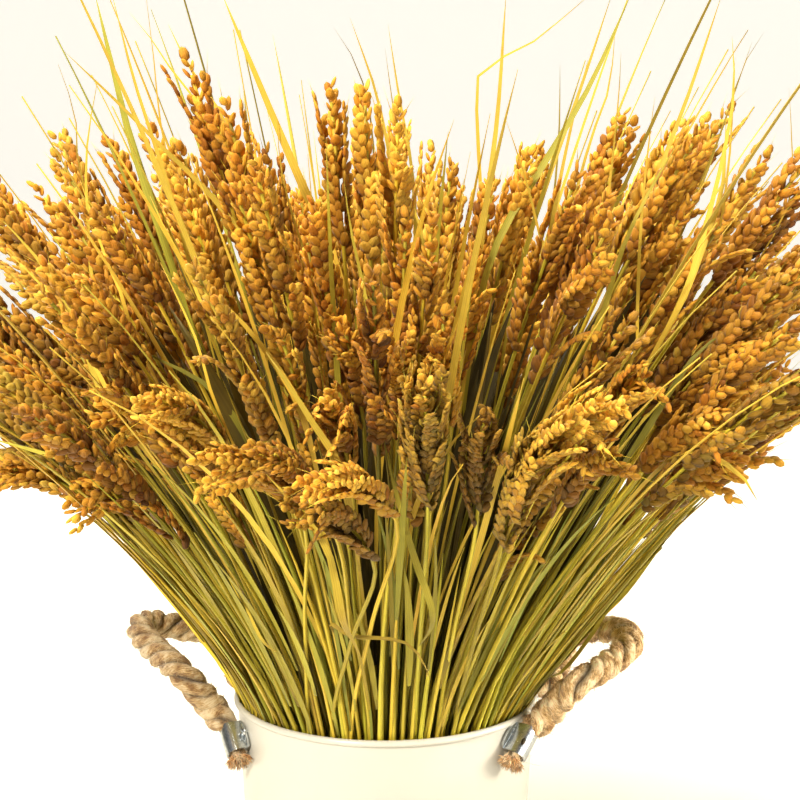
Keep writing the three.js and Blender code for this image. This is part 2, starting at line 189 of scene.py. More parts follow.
class Finish:
    """A material as it is built: its shader, and short calls for the nodes that the finishes share."""

    def __init__(self, name: str, settings: dict) -> None:
        """Starts a material.

        Args:
            name: The material's name.
            settings: The shader's inputs by name.
        """
        self.material = bpy.data.materials.new(name)
        self.material.use_nodes = True
        self.tree = self.material.node_tree
        self.shader = self.tree.nodes["Principled BSDF"]
        for key, value in settings.items():
            self.shader.inputs[key].default_value = value
        self.place = self.add("TexCoord", "Object")

    def add(self, kind: str, output: str | int, settings: dict | None = None) -> NodeSocket:
        """Adds a node to this material, as add_node does."""
        return add_node(self.tree, kind, output, settings or {})

    def feed(self, key: str, socket: NodeSocket) -> None:
        """Leads a socket to one of the shader's inputs."""
        self.tree.links.new(socket, self.shader.inputs[key])

    def split(self, vector: NodeSocket) -> list[NodeSocket]:
        """Gives the three parts of a vector."""
        return list(self.add("SeparateXYZ", "X", {"Vector": vector}).node.outputs)

    def noise(self, vector: NodeSocket, size: float, **settings: float) -> NodeSocket:
        """Adds noise whose largest patches have a size in the vector's units."""
        return self.add("TexNoise", "Fac", {"Scale": 1 / size, "Vector": vector, **settings})

    def math(self, operation: str, *values: NodeSocket | float, clamp: bool = False) -> NodeSocket:
        """Adds a calculation with up to three values."""
        settings = {"operation": operation, "use_clamp": clamp, **dict(enumerate(values))}
        return self.add("Math", "Value", settings)

    def spread(self, value: NodeSocket, low: Point, high: Point) -> NodeSocket:
        """Maps a value so that it goes from low to high, each given as the value before and after."""
        ends = {"From Min": low[0], "From Max": high[0], "To Min": low[1], "To Max": high[1]}
        return self.add("MapRange", "Result", {"Value": value, **ends})

    def ramp(self, value: NodeSocket, stops: tuple[tuple[float, str], ...]) -> NodeSocket:
        """Turns a value to a colour by stops, each a value and a hex colour."""
        return self.add("ValToRGB", "Color", {"Fac": value, "stops": stops})

    def blend(self, share: NodeSocket, first: NodeSocket, colour: str) -> NodeSocket:
        """Blends a colour towards a hex colour by a share."""
        return self.add("Mix", 2, {"data_type": "RGBA", "Factor": share, 6: first, 7: linear(colour)})

    def darken(self, colour: NodeSocket, light: NodeSocket) -> NodeSocket:
        """Multiplies a colour by a light share."""
        mode = {"data_type": "RGBA", "blend_type": "MULTIPLY", "Factor": 1.0}
        return self.add("Mix", 2, {**mode, 6: colour, 7: light})

    def bump(self, height: NodeSocket, strength: float, depth_mm: float) -> None:
        """Raises the surface by a height, where 1 is a depth in millimetres."""
        settings = {"Strength": strength, "Distance": depth_mm * MM, "Height": height}
        self.feed("Normal", self.add("Bump", "Normal", settings))


# Finishes


@dataclass(frozen=True)
class CreamEnamel:
    """Stoved enamel on sheet steel: an even warm cream with a soft gloss and a faint ripple."""

    colour: str = "#C8C7BE"
    shade: str = "#C3C1B6"
    cloud_mm: float = 60.0
    ripple_mm: float = 9.0

    def material(self) -> Material:
        """Builds the enamel.

        Returns:
            The material.
        """
        enamel = Finish("cream_enamel", {"Roughness": 0.32, "Coat Weight": 0.3, "Coat Roughness": 0.2})
        cloud = enamel.noise(enamel.place, self.cloud_mm * MM, Detail=3.0)
        enamel.feed("Base Color", enamel.ramp(cloud, ((0.35, self.shade), (0.6, self.colour))))
        enamel.bump(enamel.noise(enamel.place, self.ripple_mm * MM), 0.12, 0.4)
        return enamel.material


@dataclass(frozen=True)
class ZincPlate:
    """Bright zinc plating on pressed sheet steel: cool, with short streaks drawn out along the height."""

    colour: str = "#D4D9DC"
    dull: str = "#9BA4A9"
    streak_mm: float = 0.5
    streak_squeeze: float = 0.12

    def material(self) -> Material:
        """Builds the plating.

        Returns:
            The material.
        """
        zinc = Finish("zinc_plate", {"Roughness": 0.26, "Metallic": 1.0})
        along = zinc.add("Mapping", "Vector", {"Scale": (1, 1, self.streak_squeeze), "Vector": zinc.place})
        streak = zinc.noise(along, self.streak_mm * MM, Detail=4.0)
        zinc.feed("Base Color", zinc.ramp(streak, ((0.3, self.dull), (0.62, self.colour))))
        zinc.bump(streak, 0.25, 0.08)
        return zinc.material


@dataclass(frozen=True)
class JuteYarn:
    """Laid jute yarn: dull tan bast fibre, with painted shade where the strands meet and pale loose fibres on
    top.
    """

    groove: str = "#966B3A"
    middle: str = "#DDB67A"
    fibre: str = "#FFEABF"
    cut: str = "#B06E34"
    # The light share of the painted shade on a strand's flanks, where the strands meet
    groove_light: float = 0.42
    fibre_mm: tuple[float, float] = (0.7, 2.4)
    fibre_lean: float = 0.45
    blotch_mm: float = 6.0
    strand_mm: tuple[float, float] = (21.0, 240.0)

    def material(self) -> Material:
        """Builds the yarn. UV x runs once round a strand, outermost at 0.75, and y along its whole length.

        Returns:
            The material.
        """
        jute = Finish("jute_yarn", {"Roughness": 0.92, "Sheen Weight": 0.3, "Specular IOR Level": 0.2})
        uv = jute.add("UVMap", "UV", {"uv_map": "UVMap"})
        # The tone's first part is a light share: each handle's painted light, with random differences between
        # fibres; its second is the share of cut-end colour
        light, frayed, _ = jute.split(jute.add("Attribute", "Vector", {"attribute_name": TONE}))
        sized = jute.add("Mapping", "Vector", {"Scale": (*self.strand_mm, 1.0), "Vector": uv})
        lean = {"vector_type": "TEXTURE", "Rotation": (0, 0, self.fibre_lean), "Scale": (*self.fibre_mm, 1.0)}
        twist = jute.add("Mapping", "Vector", {**lean, "Vector": sized})
        yarn = jute.noise(twist, 1.0, Detail=4.0, Roughness=0.75)
        blotch = jute.noise(jute.place, self.blotch_mm * MM, Detail=4.0)
        both = jute.math("MULTIPLY_ADD", yarn, 1.1, blotch)
        stops = ((0.44, self.groove), (0.52, self.middle), (0.6, self.fibre))
        fibres = jute.blend(frayed, jute.ramp(jute.math("MULTIPLY", both, 0.5), stops), self.cut)
        # Painted shade: the lay's cosine darkens each strand's flanks, where it meets the others, down to
        # groove_light
        turned = jute.math("MULTIPLY_ADD", jute.split(uv)[0], TURN, -0.75 * TURN)
        lay = jute.spread(jute.math("COSINE", turned), (-0.1, self.groove_light), (0.75, 1.0))
        jute.feed("Base Color", jute.darken(fibres, jute.math("MULTIPLY", lay, light)))
        jute.bump(both, 1.0, 1.3)
        return jute.material


@dataclass(frozen=True)
class PlantSkin:
    """A dry plant surface: a tint for each stem, blade or grain, fine ribs along it, bands round it and
    painted shade towards its foot.
    """

    name: str
    tints: tuple[tuple[float, str], ...]
    green: str
    root_shade: float
    ribs: int
    rib_depth_mm: float
    bands: int
    band_shade: float
    roughness: float
    mottle: float
    mottle_mm: float
    sheen: float

    def material(self) -> Material:
        """Builds the skin. The tone attribute gives the tint, the green share and the light share, which
        paints light and shade besides varying at random.

        Returns:
            The material.
        """
        settings = {"Roughness": self.roughness, "Specular IOR Level": 0.28, "Sheen Weight": self.sheen}
        skin = Finish(self.name, settings)
        tint, green, light = skin.split(skin.add("Attribute", "Vector", {"attribute_name": TONE}))
        around, along, _ = skin.split(skin.add("UVMap", "UV", {"uv_map": "UVMap"}))
        mottle = skin.noise(skin.place, self.mottle_mm * MM, Detail=2.0)
        tinted = skin.math("MULTIPLY_ADD", mottle, self.mottle, tint, clamp=True)
        colour = skin.ramp(skin.math("SUBTRACT", tinted, self.mottle / 2), self.tints)
        # Painted shade: darker towards the foot of each stem, blade or grain, where it lies deep among the
        # others
        root = skin.spread(along, (0.0, self.root_shade), (0.5, 1.0))
        shaded = skin.darken(skin.blend(green, colour, self.green), skin.math("MULTIPLY", root, light))
        # Bands round the skin darken it between them; on a husk the two bands darken its broad faces, which
        # paints light along its margins, and on straw and blades they make darker stripes along it
        band = skin.math("COSINE", skin.math("MULTIPLY", around, self.bands * TURN))
        band_light = skin.spread(band, (-1.0, 1 - self.band_shade), (1.0, 1.0))
        skin.feed("Base Color", skin.darken(shaded, band_light))
        skin.bump(skin.math("SINE", skin.math("MULTIPLY", around, self.ribs * TURN)), 0.5, self.rib_depth_mm)
        return skin.material


# Ripe rice husk: hard, ribbed and satin, from rust brown through gold to pale straw
RICE_HUSK = PlantSkin(
    name="ripe_rice_husk",
    tints=((0.0, "#8A4F10"), (0.3, "#C27A18"), (0.55, "#DC9B28"), (0.8, "#ECB63A"), (1.0, "#F8D568")),
    green="#A8A038",
    root_shade=0.5,
    ribs=10,
    rib_depth_mm=0.1,
    # Two bands round the grain darken its broad faces, a painted light along its margins
    bands=2,
    band_shade=0.16,
    roughness=0.6,
    mottle=0.34,
    mottle_mm=3.0,
    sheen=0.05,
)

# Dry rice culm: a smooth waxy straw, olive to yellow, with fine grooves
RICE_STRAW = PlantSkin(
    name="dry_rice_straw",
    tints=((0.0, "#8C6A1E"), (0.3, "#C2A62C"), (0.55, "#E2C43A"), (0.8, "#F0CE48"), (1.0, "#FBE78C")),
    green="#AEB035",
    root_shade=0.9,
    ribs=7,
    rib_depth_mm=0.1,
    bands=4,
    band_shade=0.25,
    roughness=0.42,
    mottle=0.55,
    mottle_mm=8.0,
    sheen=0.02,
)

# Dry rice leaf blade: papery, veined along its length, green fading to gold and brown
RICE_BLADE = PlantSkin(
    name="dry_rice_blade",
    tints=((0.0, "#857022"), (0.3, "#B4962B"), (0.55, "#D2AA35"), (0.8, "#E0BE41"), (1.0, "#F2DA5A")),
    green="#97A236",
    root_shade=0.85,
    ribs=10,
    rib_depth_mm=0.05,
    bands=7,
    band_shade=0.16,
    roughness=0.5,
    mottle=0.5,
    mottle_mm=10.0,
    sheen=0.03,
)


@dataclass(frozen=True)
class PalePaper:
    """Matt pale paper for the stage. Its glow shows to the camera only, and is less near the pail."""

    colour: str = "#DFDDD5"
    glow_colour: str = "#FFFDF6"
    near: Point = (0.12, 0.2)
    far: Point = (0.65, 0.71)

    def material(self) -> Material:
        """Builds the paper. Near and far are each a distance from the origin in metres and the glow there.

        Returns:
            The material.
        """
        settings = {"Base Color": linear(self.colour), "Emission Color": linear(self.glow_colour)}
        paper = Finish("pale_paper", {"Roughness": 0.95, **settings})
        away = paper.add("VectorMath", "Value", {"operation": "LENGTH", 0: paper.place})
        ray = paper.add("LightPath", "Is Camera Ray")
        paper.feed("Emission Strength", paper.math("MULTIPLY", ray, paper.spread(away, self.near, self.far)))
        return paper.material


# Edit-mode work on a mesh


def deselect_all() -> None:
    """Leaves nothing selected and no object active in edit mode."""
    if bpy.context.object and bpy.context.object.mode != "OBJECT":
        bpy.ops.object.mode_set(mode="OBJECT")
    bpy.ops.object.select_all(action="DESELECT")


def name_new_object(name: str) -> Object:
    """Names the object that an operator has just added, and its mesh.

    Args:
        name: The new name.

    Returns:
        The object.
    """
    new = bpy.context.object
    new.name = new.data.name = name
    return new


def face_outwards() -> None:
    """Turns every face of the active object outwards."""
    bpy.ops.object.mode_set(mode="EDIT")
    bpy.ops.mesh.select_all(action="SELECT")
    bpy.ops.mesh.normals_make_consistent(inside=False)
    bpy.ops.object.mode_set(mode="OBJECT")


def spin_profile(name: str, profile: list[Point], steps: int, weld: float) -> Object:
    """Spins a profile round the Z axis to a closed solid.

    Args:
        name: The new object's name.
        profile: The radius and height of each point, in millimetres.
        steps: How many sides the solid has.
        weld: The distance under which points are merged, in metres.

    Returns:
        The new object, which is the active one.
    """
    deselect_all()
    bpy.ops.mesh.primitive_plane_add(size=0.002)
    solid = name_new_object(name)
    bpy.ops.object.mode_set(mode="EDIT")
    bpy.ops.mesh.select_all(action="SELECT")
    bpy.ops.mesh.merge(type="CENTER")
    bpy.ops.transform.translate(value=(profile[0][0] * MM, 0, profile[0][1] * MM))
    for (r0, z0), (r1, z1) in zip(profile, profile[1:]):
        step = ((r1 - r0) * MM, 0, (z1 - z0) * MM)
        bpy.ops.mesh.extrude_region_move(TRANSFORM_OT_translate={"value": step})
    bpy.ops.mesh.select_all(action="SELECT")
    bpy.ops.mesh.spin(steps=steps, angle=TURN, center=(0, 0, 0), axis=(0, 0, 1))
    bpy.ops.mesh.remove_doubles(threshold=weld)
    bpy.ops.mesh.fill_holes(sides=0)
    face_outwards()
    return solid


def finish_piece(piece: Object, node: str) -> None:
    """Makes a piece ride with the pail and stand for its CAD node.

    Args:
        piece: The finished piece, at the origin.
        node: The CAD node that the piece stands for.
    """
    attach(piece, "root")
    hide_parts(node)
    triangles = sum(len(p.vertices) - 2 for p in piece.data.polygons)
    LOG.info("%s: %d triangles", piece.name, triangles)


# Lines and meshes


def unit(vectors: Array) -> Array:
    """Gives each row a length of 1."""
    return vectors / np.maximum(np.linalg.norm(vectors, axis=-1, keepdims=True), 1e-9)


def run_along(points: Array) -> Array:
    """Gives how far along a line each of its points is."""
    return np.concatenate([[0], np.cumsum(np.linalg.norm(np.diff(points, axis=0), axis=1))])


def column(count: int) -> Array:
    """Gives evenly spaced shares from 0 to 1 as a column."""
    return np.linspace(0, 1, count)[:, None]


def round_section(radii: Array, sides: int) -> Array:
    """Gives round rings for a sweep: for each radius and side, how far the skin lies either way."""
    angles = -np.arange(sides) / sides * TURN
    return radii[:, None, None] * np.stack([np.cos(angles), np.sin(angles)], 1)[None]


def carry_frame(tangent: Array, first: Array) -> Array:
    """Carries a direction along a line without turning it about the line.

    Args:
        tangent: The line's direction at each point.
        first: The direction to start from.

    Returns:
        A direction across the line at each point.
    """
    carried = [first]
    for direction in tangent:
        last = carried[-1]
        carried.append(unit(last - (last @ direction) * direction))
    return np.array(carried[1:])


def smooth_line(stops: Array, count: int) -> Array:
    """Runs a smooth line through stops.

    Args:
        stops: The places that it goes through, with any further values in later columns.
        count: How many points to give.

    Returns:
        Evenly spaced points.
    """
    gaps = np.sqrt(np.linalg.norm(np.diff(stops[:, :3], axis=0), axis=1))
    knots = np.concatenate([[0], np.cumsum(gaps)])
    ends = np.vstack([2 * stops[0] - stops[1], stops, 2 * stops[-1] - stops[-2]])
    times = np.concatenate([[knots[0] - gaps[0]], knots, [knots[-1] + gaps[-1]]])
    fine = np.linspace(knots[0], knots[-1] - 1e-9, count * 6)
    cell = np.clip(np.searchsorted(times, fine, side="right") - 1, 1, len(stops) - 1)
    t = [times[cell + k] for k in (-1, 0, 1, 2)]
    rows = [ends[cell + k] for k in (-1, 0, 1, 2)]
    for spans in (((0, 1), (1, 2), (2, 3)), ((0, 2), (1, 3)), ((1, 2),)):
        late = [((fine - t[a]) / (t[b] - t[a]))[:, None] for a, b in spans]
        early = [((t[b] - fine) / (t[b] - t[a]))[:, None] for a, b in spans]
        rows = [rows[k] * early[k] + rows[k + 1] * late[k] for k in range(len(spans))]
    line = rows[0]
    run = run_along(line[:, :3])
    even = np.linspace(0, run[-1], count)
    return np.stack([np.interp(even, run, line[:, k]) for k in range(line.shape[1])], 1)


@dataclass
class Pattern:
    """A small shape that is copied many times: its points, faces and corner UVs."""

    points: Array
    faces: list[Array]
    uvs: list[Array]


@dataclass
class MeshHeap:
    """Points, faces, corner UVs and tones gathered for one piece, in millimetres."""

    points: list[Array] = field(default_factory=list)
    tones: list[Array] = field(default_factory=list)
    margins: list[Array] = field(default_factory=list)
    faces: dict[int, list] = field(default_factory=lambda: {3: [], 4: []})
    count: int = 0

    def add_points(self, points: Array, tones: Array, margins: Array | None = None) -> int:
        """Adds points with a tone each.

        Args:
            points: Places, one row each.
            tones: Tint, green share and light share, one row each.
            margins: 1 or 2 on a blade's two margins, or 0.

        Returns:
            The number of the first new point.
        """
        first = self.count
        self.points.append(points)
        self.tones.append(tones)
        self.margins.append(np.zeros(len(points), int) if margins is None else margins)
        self.count += len(points)
        return first

    def add_faces(self, corners: Array, uvs: Array, part: int) -> None:
        """Adds faces of one size: their point numbers, a UV for each corner and their material's number."""
        self.faces[corners.shape[1]].append((corners, uvs, np.full(len(corners), part)))

    def add_copies(
        self, pattern: Pattern, places: Array, frames: Array, sizes: Array, tones: Array, part: int
    ) -> None:
        """Adds a copy of a pattern at each place.

        Args:
            pattern: The shape, with its length along Z.
            places: Where each copy's origin goes.
            frames: For each copy its X, Y and Z directions as rows.
            sizes: For each copy its width, depth and length.
            tones: For each copy its tone.
            part: The material's number.
        """
        scaled = pattern.points[None] * sizes[:, None]
        moved = np.einsum("npk,nkc->npc", scaled, frames) + places[:, None]
        count, each = moved.shape[:2]
        first = self.add_points(moved.reshape(-1, 3), np.repeat(tones, each, axis=0))
        offsets = first + np.arange(count)[:, None, None] * each
        for corners, uvs in zip(pattern.faces, pattern.uvs):
            numbers = (corners[None] + offsets).reshape(-1, corners.shape[1])
            self.add_faces(numbers, np.tile(uvs, (count, 1, 1)), part)

    def add_sweep(
        self,
        centres: Array,
        sideways: Array,
        outwards: Array,
        section: Array,
        tone: Tone,
        part: int = 0,
        is_blade: bool = False,
    ) -> None:
        """Adds a closed skin along a line, with a point at each end.

        Args:
            centres: The line's points.
            sideways: A direction across the line at each point.
            outwards: The other direction across the line at each point.
            section: For each point and side, how far the skin lies sideways and outwards.
            tone: The tone of the whole skin.
            part: The material's number.
            is_blade: Whether the first and third of its four sides are sharp margins.
        """
        steps, sides = section.shape[:2]
        ring = centres[:, None] + section[..., :1] * sideways[:, None] + section[..., 1:] * outwards[:, None]
        points = np.vstack([ring.reshape(-1, 3), centres[:1], centres[-1:]])
        marks = np.zeros(len(points), int)
        if is_blade:
            marks[: steps * sides] = np.tile([1, 0, 2, 0], steps)
        first = self.add_points(points, np.tile(tone, (len(points), 1)), marks)
        row, side = (grid.ravel() for grid in np.indices((steps - 1, sides)))
        low, after = row * sides, (side + 1) % sides
        high = low + sides
        quads = np.stack([low + side, low + after, high + after, high + side], 1)
        length = run_along(centres)
        share = length / max(length[-1], 1e-6)
        corners = ((side, row), (side + 1, row), (side + 1, row + 1), (side, row + 1))
        uvs = np.stack([np.stack([x / sides, share[y]], 1) for x, y in corners], 1)
        self.add_faces(first + quads, uvs, part)
        spokes = np.arange(sides)
        around = (spokes + 1) % sides
        foot, top = np.full(sides, steps * sides), (steps - 1) * sides
        cap = np.stack([np.stack([spokes / sides, np.zeros(sides)], 1)] * 3, 1)
        for level, fan in enumerate(((foot, around, spokes), (foot + 1, top + spokes, top + around))):
            self.add_faces(first + np.stack(fan, 1), cap + [0.0, level], part)

    def add_spikes(
        self, roots: Array, tips: Array, radius: float, tones: Array, uv: Point, part: int = 0
    ) -> None:
        """Adds thin three-sided spikes, such as awns and loose fibres.

        Args:
            roots: Where each spike starts.
            tips: Where each spike ends.
            radius: How thick a spike is at its root.
            tones: For each spike its tone.
            uv: The UV of every corner.
            part: The material's number.
        """
        axis = unit(tips - roots)
        first_side = unit(np.cross(axis, axis[:, [1, 2, 0]] + [0.31, 0.17, 0.0]))
        second_side = np.cross(axis, first_side)
        angles = (0.0, TURN / 3, TURN * 2 / 3)
        corners = [roots + radius * (math.cos(a) * first_side + math.sin(a) * second_side) for a in angles]
        points = np.stack([*corners, tips], 1).reshape(-1, 3)
        first = self.add_points(points, np.repeat(tones, 4, axis=0))
        faces = np.array([[0, 1, 3], [1, 2, 3], [2, 0, 3], [0, 2, 1]])
        numbers = first + faces[None] + np.arange(len(roots))[:, None, None] * 4
        self.add_faces(numbers.reshape(-1, 3), np.tile(uv, (len(roots) * 4, 3, 1)), part)

    def to_object(self, name: str, materials: list[Material]) -> Object:
        """Turns the heap into an object in metres.

        Args:
            name: The object's name.
            materials: The material slots, in order.

        Returns:
            The object, linked to the scene, with its place in its mesh.
        """
        mesh = bpy.data.meshes.new(name)
        points = np.vstack(self.points) * MM
        groups = [group for size in self.faces.values() for group in size]
        corners = np.concatenate([face.ravel() for face, _, _ in groups])
        uvs = np.concatenate([uv.reshape(-1, 2) for _, uv, _ in groups])
        parts = np.concatenate([part for _, _, part in groups])
        totals = np.concatenate([np.full(len(face), face.shape[1]) for face, _, _ in groups])
        starts = np.concatenate([[0], np.cumsum(totals)[:-1]])
        mesh.vertices.add(len(points))
        mesh.loops.add(len(corners))
        mesh.polygons.add(len(totals))
        mesh.vertices.foreach_set("co", points.astype(np.float32).ravel())
        mesh.loops.foreach_set("vertex_index", corners.astype(np.int32))
        mesh.polygons.foreach_set("loop_start", starts.astype(np.int32))
        mesh.polygons.foreach_set("material_index", parts.astype(np.int32))
        mesh.uv_layers.new(name="UVMap").data.foreach_set("uv", uvs.astype(np.float32).ravel())
        mesh.update(calc_edges=True)
        tone = mesh.attributes.new(TONE, "FLOAT_VECTOR", "POINT")
        tone.data.foreach_set("vector", np.vstack(self.tones).astype(np.float32).ravel())
        marks = np.concatenate(self.margins)
        if marks.any():
            ends = np.zeros(len(mesh.edges) * 2, np.int32)
            mesh.edges.foreach_get("vertices", ends)
            first, second = marks[ends[0::2]], marks[ends[1::2]]
            sharp = mesh.attributes.new("sharp_edge", "BOOLEAN", "EDGE")
            sharp.data.foreach_set("value", (first == second) & (first > 0))
        for material in materials:
            mesh.materials.append(material)
        piece = bpy.data.objects.new(name, mesh)
        bpy.context.scene.collection.objects.link(piece)
        return piece


# The photograph's camera


@dataclass(frozen=True)
class Sight:
    """The photograph's camera, in millimetres: it turns a pixel of the 800 pixel frame to a place."""

    eye: Point3 = (6.6, -681.0, 358.0)
    pitch_down: float = math.radians(6.8)
    lens_mm: float = 67.37
    sensor_mm: float = 36.0
    frame: float = 800.0

    def place(self, x: float, y: float, depth: float) -> Array:
        """Gives the place seen at a pixel.

        Args:
            x: Pixels from the frame's left edge.
            y: Pixels from the frame's top edge.
            depth: The place's Y.

        Returns:
            The place.
        """
        focal = self.lens_mm / self.sensor_mm * self.frame
        across, up = (x - self.frame / 2) / focal, (self.frame / 2 - y) / focal
        ahead = math.cos(self.pitch_down) + up * math.sin(self.pitch_down)
        rise = up * math.cos(self.pitch_down) - math.sin(self.pitch_down)
        reach = (depth - self.eye[1]) / ahead
        return np.array([self.eye[0] + across * reach, depth, self.eye[2] + rise * reach])


# Rice lines and planting


@dataclass
class Shoot:
    """One culm's place in the pail and in the crown."""

    index: int
    is_leaf: bool
    azimuth: float
    tiller: int
    tiller_azimuth: float
    foot_offset: float
    foot_radius: float
    rim_radius: float
    tip_radius: float
    tip_height: float
    share: float


class GrowthLine:
    """A line that a culm grows along, with its length, the ear's part of it and how much the ear droops."""

    length: float
    rim_length: float
    ear_length: float
    droop: float

    def near(self, distances: Array) -> tuple[Array, Array, Array]:
        """Gives the places at distances along the line, then those just before and just after."""
        raise NotImplementedError

    def across(self, tangent: Array) -> Array:
        """Gives the sideways direction for each tangent."""
        raise NotImplementedError

    def at(self, distances: Array) -> tuple[Array, Array, Array, Array]:
        """Gives places and directions at distances along the line.

        Args:
            distances: Millimetres from the foot. Past the tip the line goes straight on.

        Returns:
            Places, tangents, sideways directions and outward directions.
        """
        inside = np.minimum(distances, self.length)
        places, before, after = self.near(inside)
        tangent = unit(after - before)
        sideways = self.across(tangent)
        places = places + tangent * (distances - inside)[:, None]
        return places, tangent, sideways, np.cross(sideways, tangent)


@dataclass
class CulmLine(GrowthLine):
    """The line that one culm grows along: up from the pail's floor to the rim, then out to its tip."""

    shoot: Shoot
    foot_height: float = 3.2
    arching: float = 1.25
    sway: float = 0.0
    hang: float = 0.0
    bulge: float = 11.0
    trim: float = 0.0
    divisions: int = 120

    def __post_init__(self) -> None:
        """Measures the line."""
        self.rim_rise = (PAIL_HEIGHT - self.foot_height) / (self.shoot.tip_height - self.foot_height)
        self.rises = np.linspace(0, 1, self.divisions + 1)
        self.lengths = run_along(self.points(self.rises))
        self.length = float(self.lengths[-1]) - self.trim
        self.rim_length = float(np.interp(self.rim_rise, self.rises, self.lengths))
        self.ear_length = 104.0
        lean = math.sin(math.atan2(self.shoot.tip_radius, self.shoot.tip_height - PAIL_HEIGHT))
        self.droop = lean * (0.35 + 0.65 * max(0.0, -math.sin(self.shoot.azimuth)))

    def points(self, rise: Array) -> Array:
        """Gives the line's places at shares of its height.

        Args:
            rise: The shares, where 0 is the foot and 1 is the tip.

        Returns:
            The places.
        """
        s = self.shoot
        inside = np.minimum(rise / self.rim_rise, 1) ** 1.5
        outside = np.maximum((rise - self.rim_rise) / (1 - self.rim_rise), 0) ** self.arching
        radius = s.foot_radius + (s.rim_radius - s.foot_radius) * inside
        radius = radius + (s.tip_radius - s.rim_radius) * outside
        gathered = (1 - rise) ** 6
        angle = s.azimuth + (s.tiller_azimuth - s.azimuth) * gathered + self.sway * outside
        past = np.clip((rise - self.rim_rise) / (1 - self.rim_rise), 0, 1)
        height = self.foot_height + (s.tip_height - self.foot_height) * rise
        height = height + self.bulge * s.share**1.5 * 6.75 * past**2 * (1 - past) - self.hang * past**5
        beside = s.foot_offset * gathered
        x = radius * np.cos(angle) - beside * math.sin(s.tiller_azimuth)
        y = radius * np.sin(angle) + beside * math.cos(s.tiller_azimuth)
        return np.stack([x, y, height], 1)

    def near(self, distances: Array) -> tuple[Array, Array, Array]:
        """Gives the places at distances along the line, then those just before and just after.

        Args:
            distances: Millimetres from the foot.

        Returns:
            The places there, just before there and just after.
        """
        rise = np.interp(distances, self.lengths, self.rises)
        before, after = np.clip(rise - 0.004, 0, 1), np.clip(rise + 0.004, 0, 1)
        return self.points(rise), self.points(before), self.points(after)

    def across(self, tangent: Array) -> Array:
        """Gives the level direction round the pail, squared to each tangent."""
        level = np.array([-math.sin(self.shoot.azimuth), math.cos(self.shoot.azimuth), 0.0])
        return unit(level - (tangent @ level)[:, None] * tangent)


@dataclass
class GuidedLine(GrowthLine):
    """A culm led through chosen places: its foot, the rim, where its ear starts and its tip."""

    stops: Array
    rim_stop: int = 2
    ear_stop: int = 4
    divisions: int = 140
    droop: float = 0.6

    def __post_init__(self) -> None:
        """Measures the line."""
        self.path = smooth_line(self.stops, self.divisions)
        self.lengths = run_along(self.path)
        self.length = float(self.lengths[-1])
        self.rim_length = self.distance_to(self.stops[self.rim_stop])
        self.ear_length = self.length - self.distance_to(self.stops[self.ear_stop])

    def distance_to(self, place: Array) -> float:
        """Gives how far along the line a place is."""
        return float(self.lengths[np.argmin(np.linalg.norm(self.path - place, axis=1))])

    def near(self, distances: Array) -> tuple[Array, Array, Array]:
        """Gives the places at distances along the line, then those 3 mm before and after.

        Args:
            distances: Millimetres from the foot.

        Returns:
            The places there, just before there and just after.
        """
        return tuple(
            np.stack([np.interp(distances + step, self.lengths, self.path[:, k]) for k in range(3)], 1)
            for step in (0.0, -3.0, 3.0)
        )

    def across(self, tangent: Array) -> Array:
        """Gives the level direction across each tangent."""
        return unit(np.cross(UP, tangent + [0.0, -0.05, 0.0]))


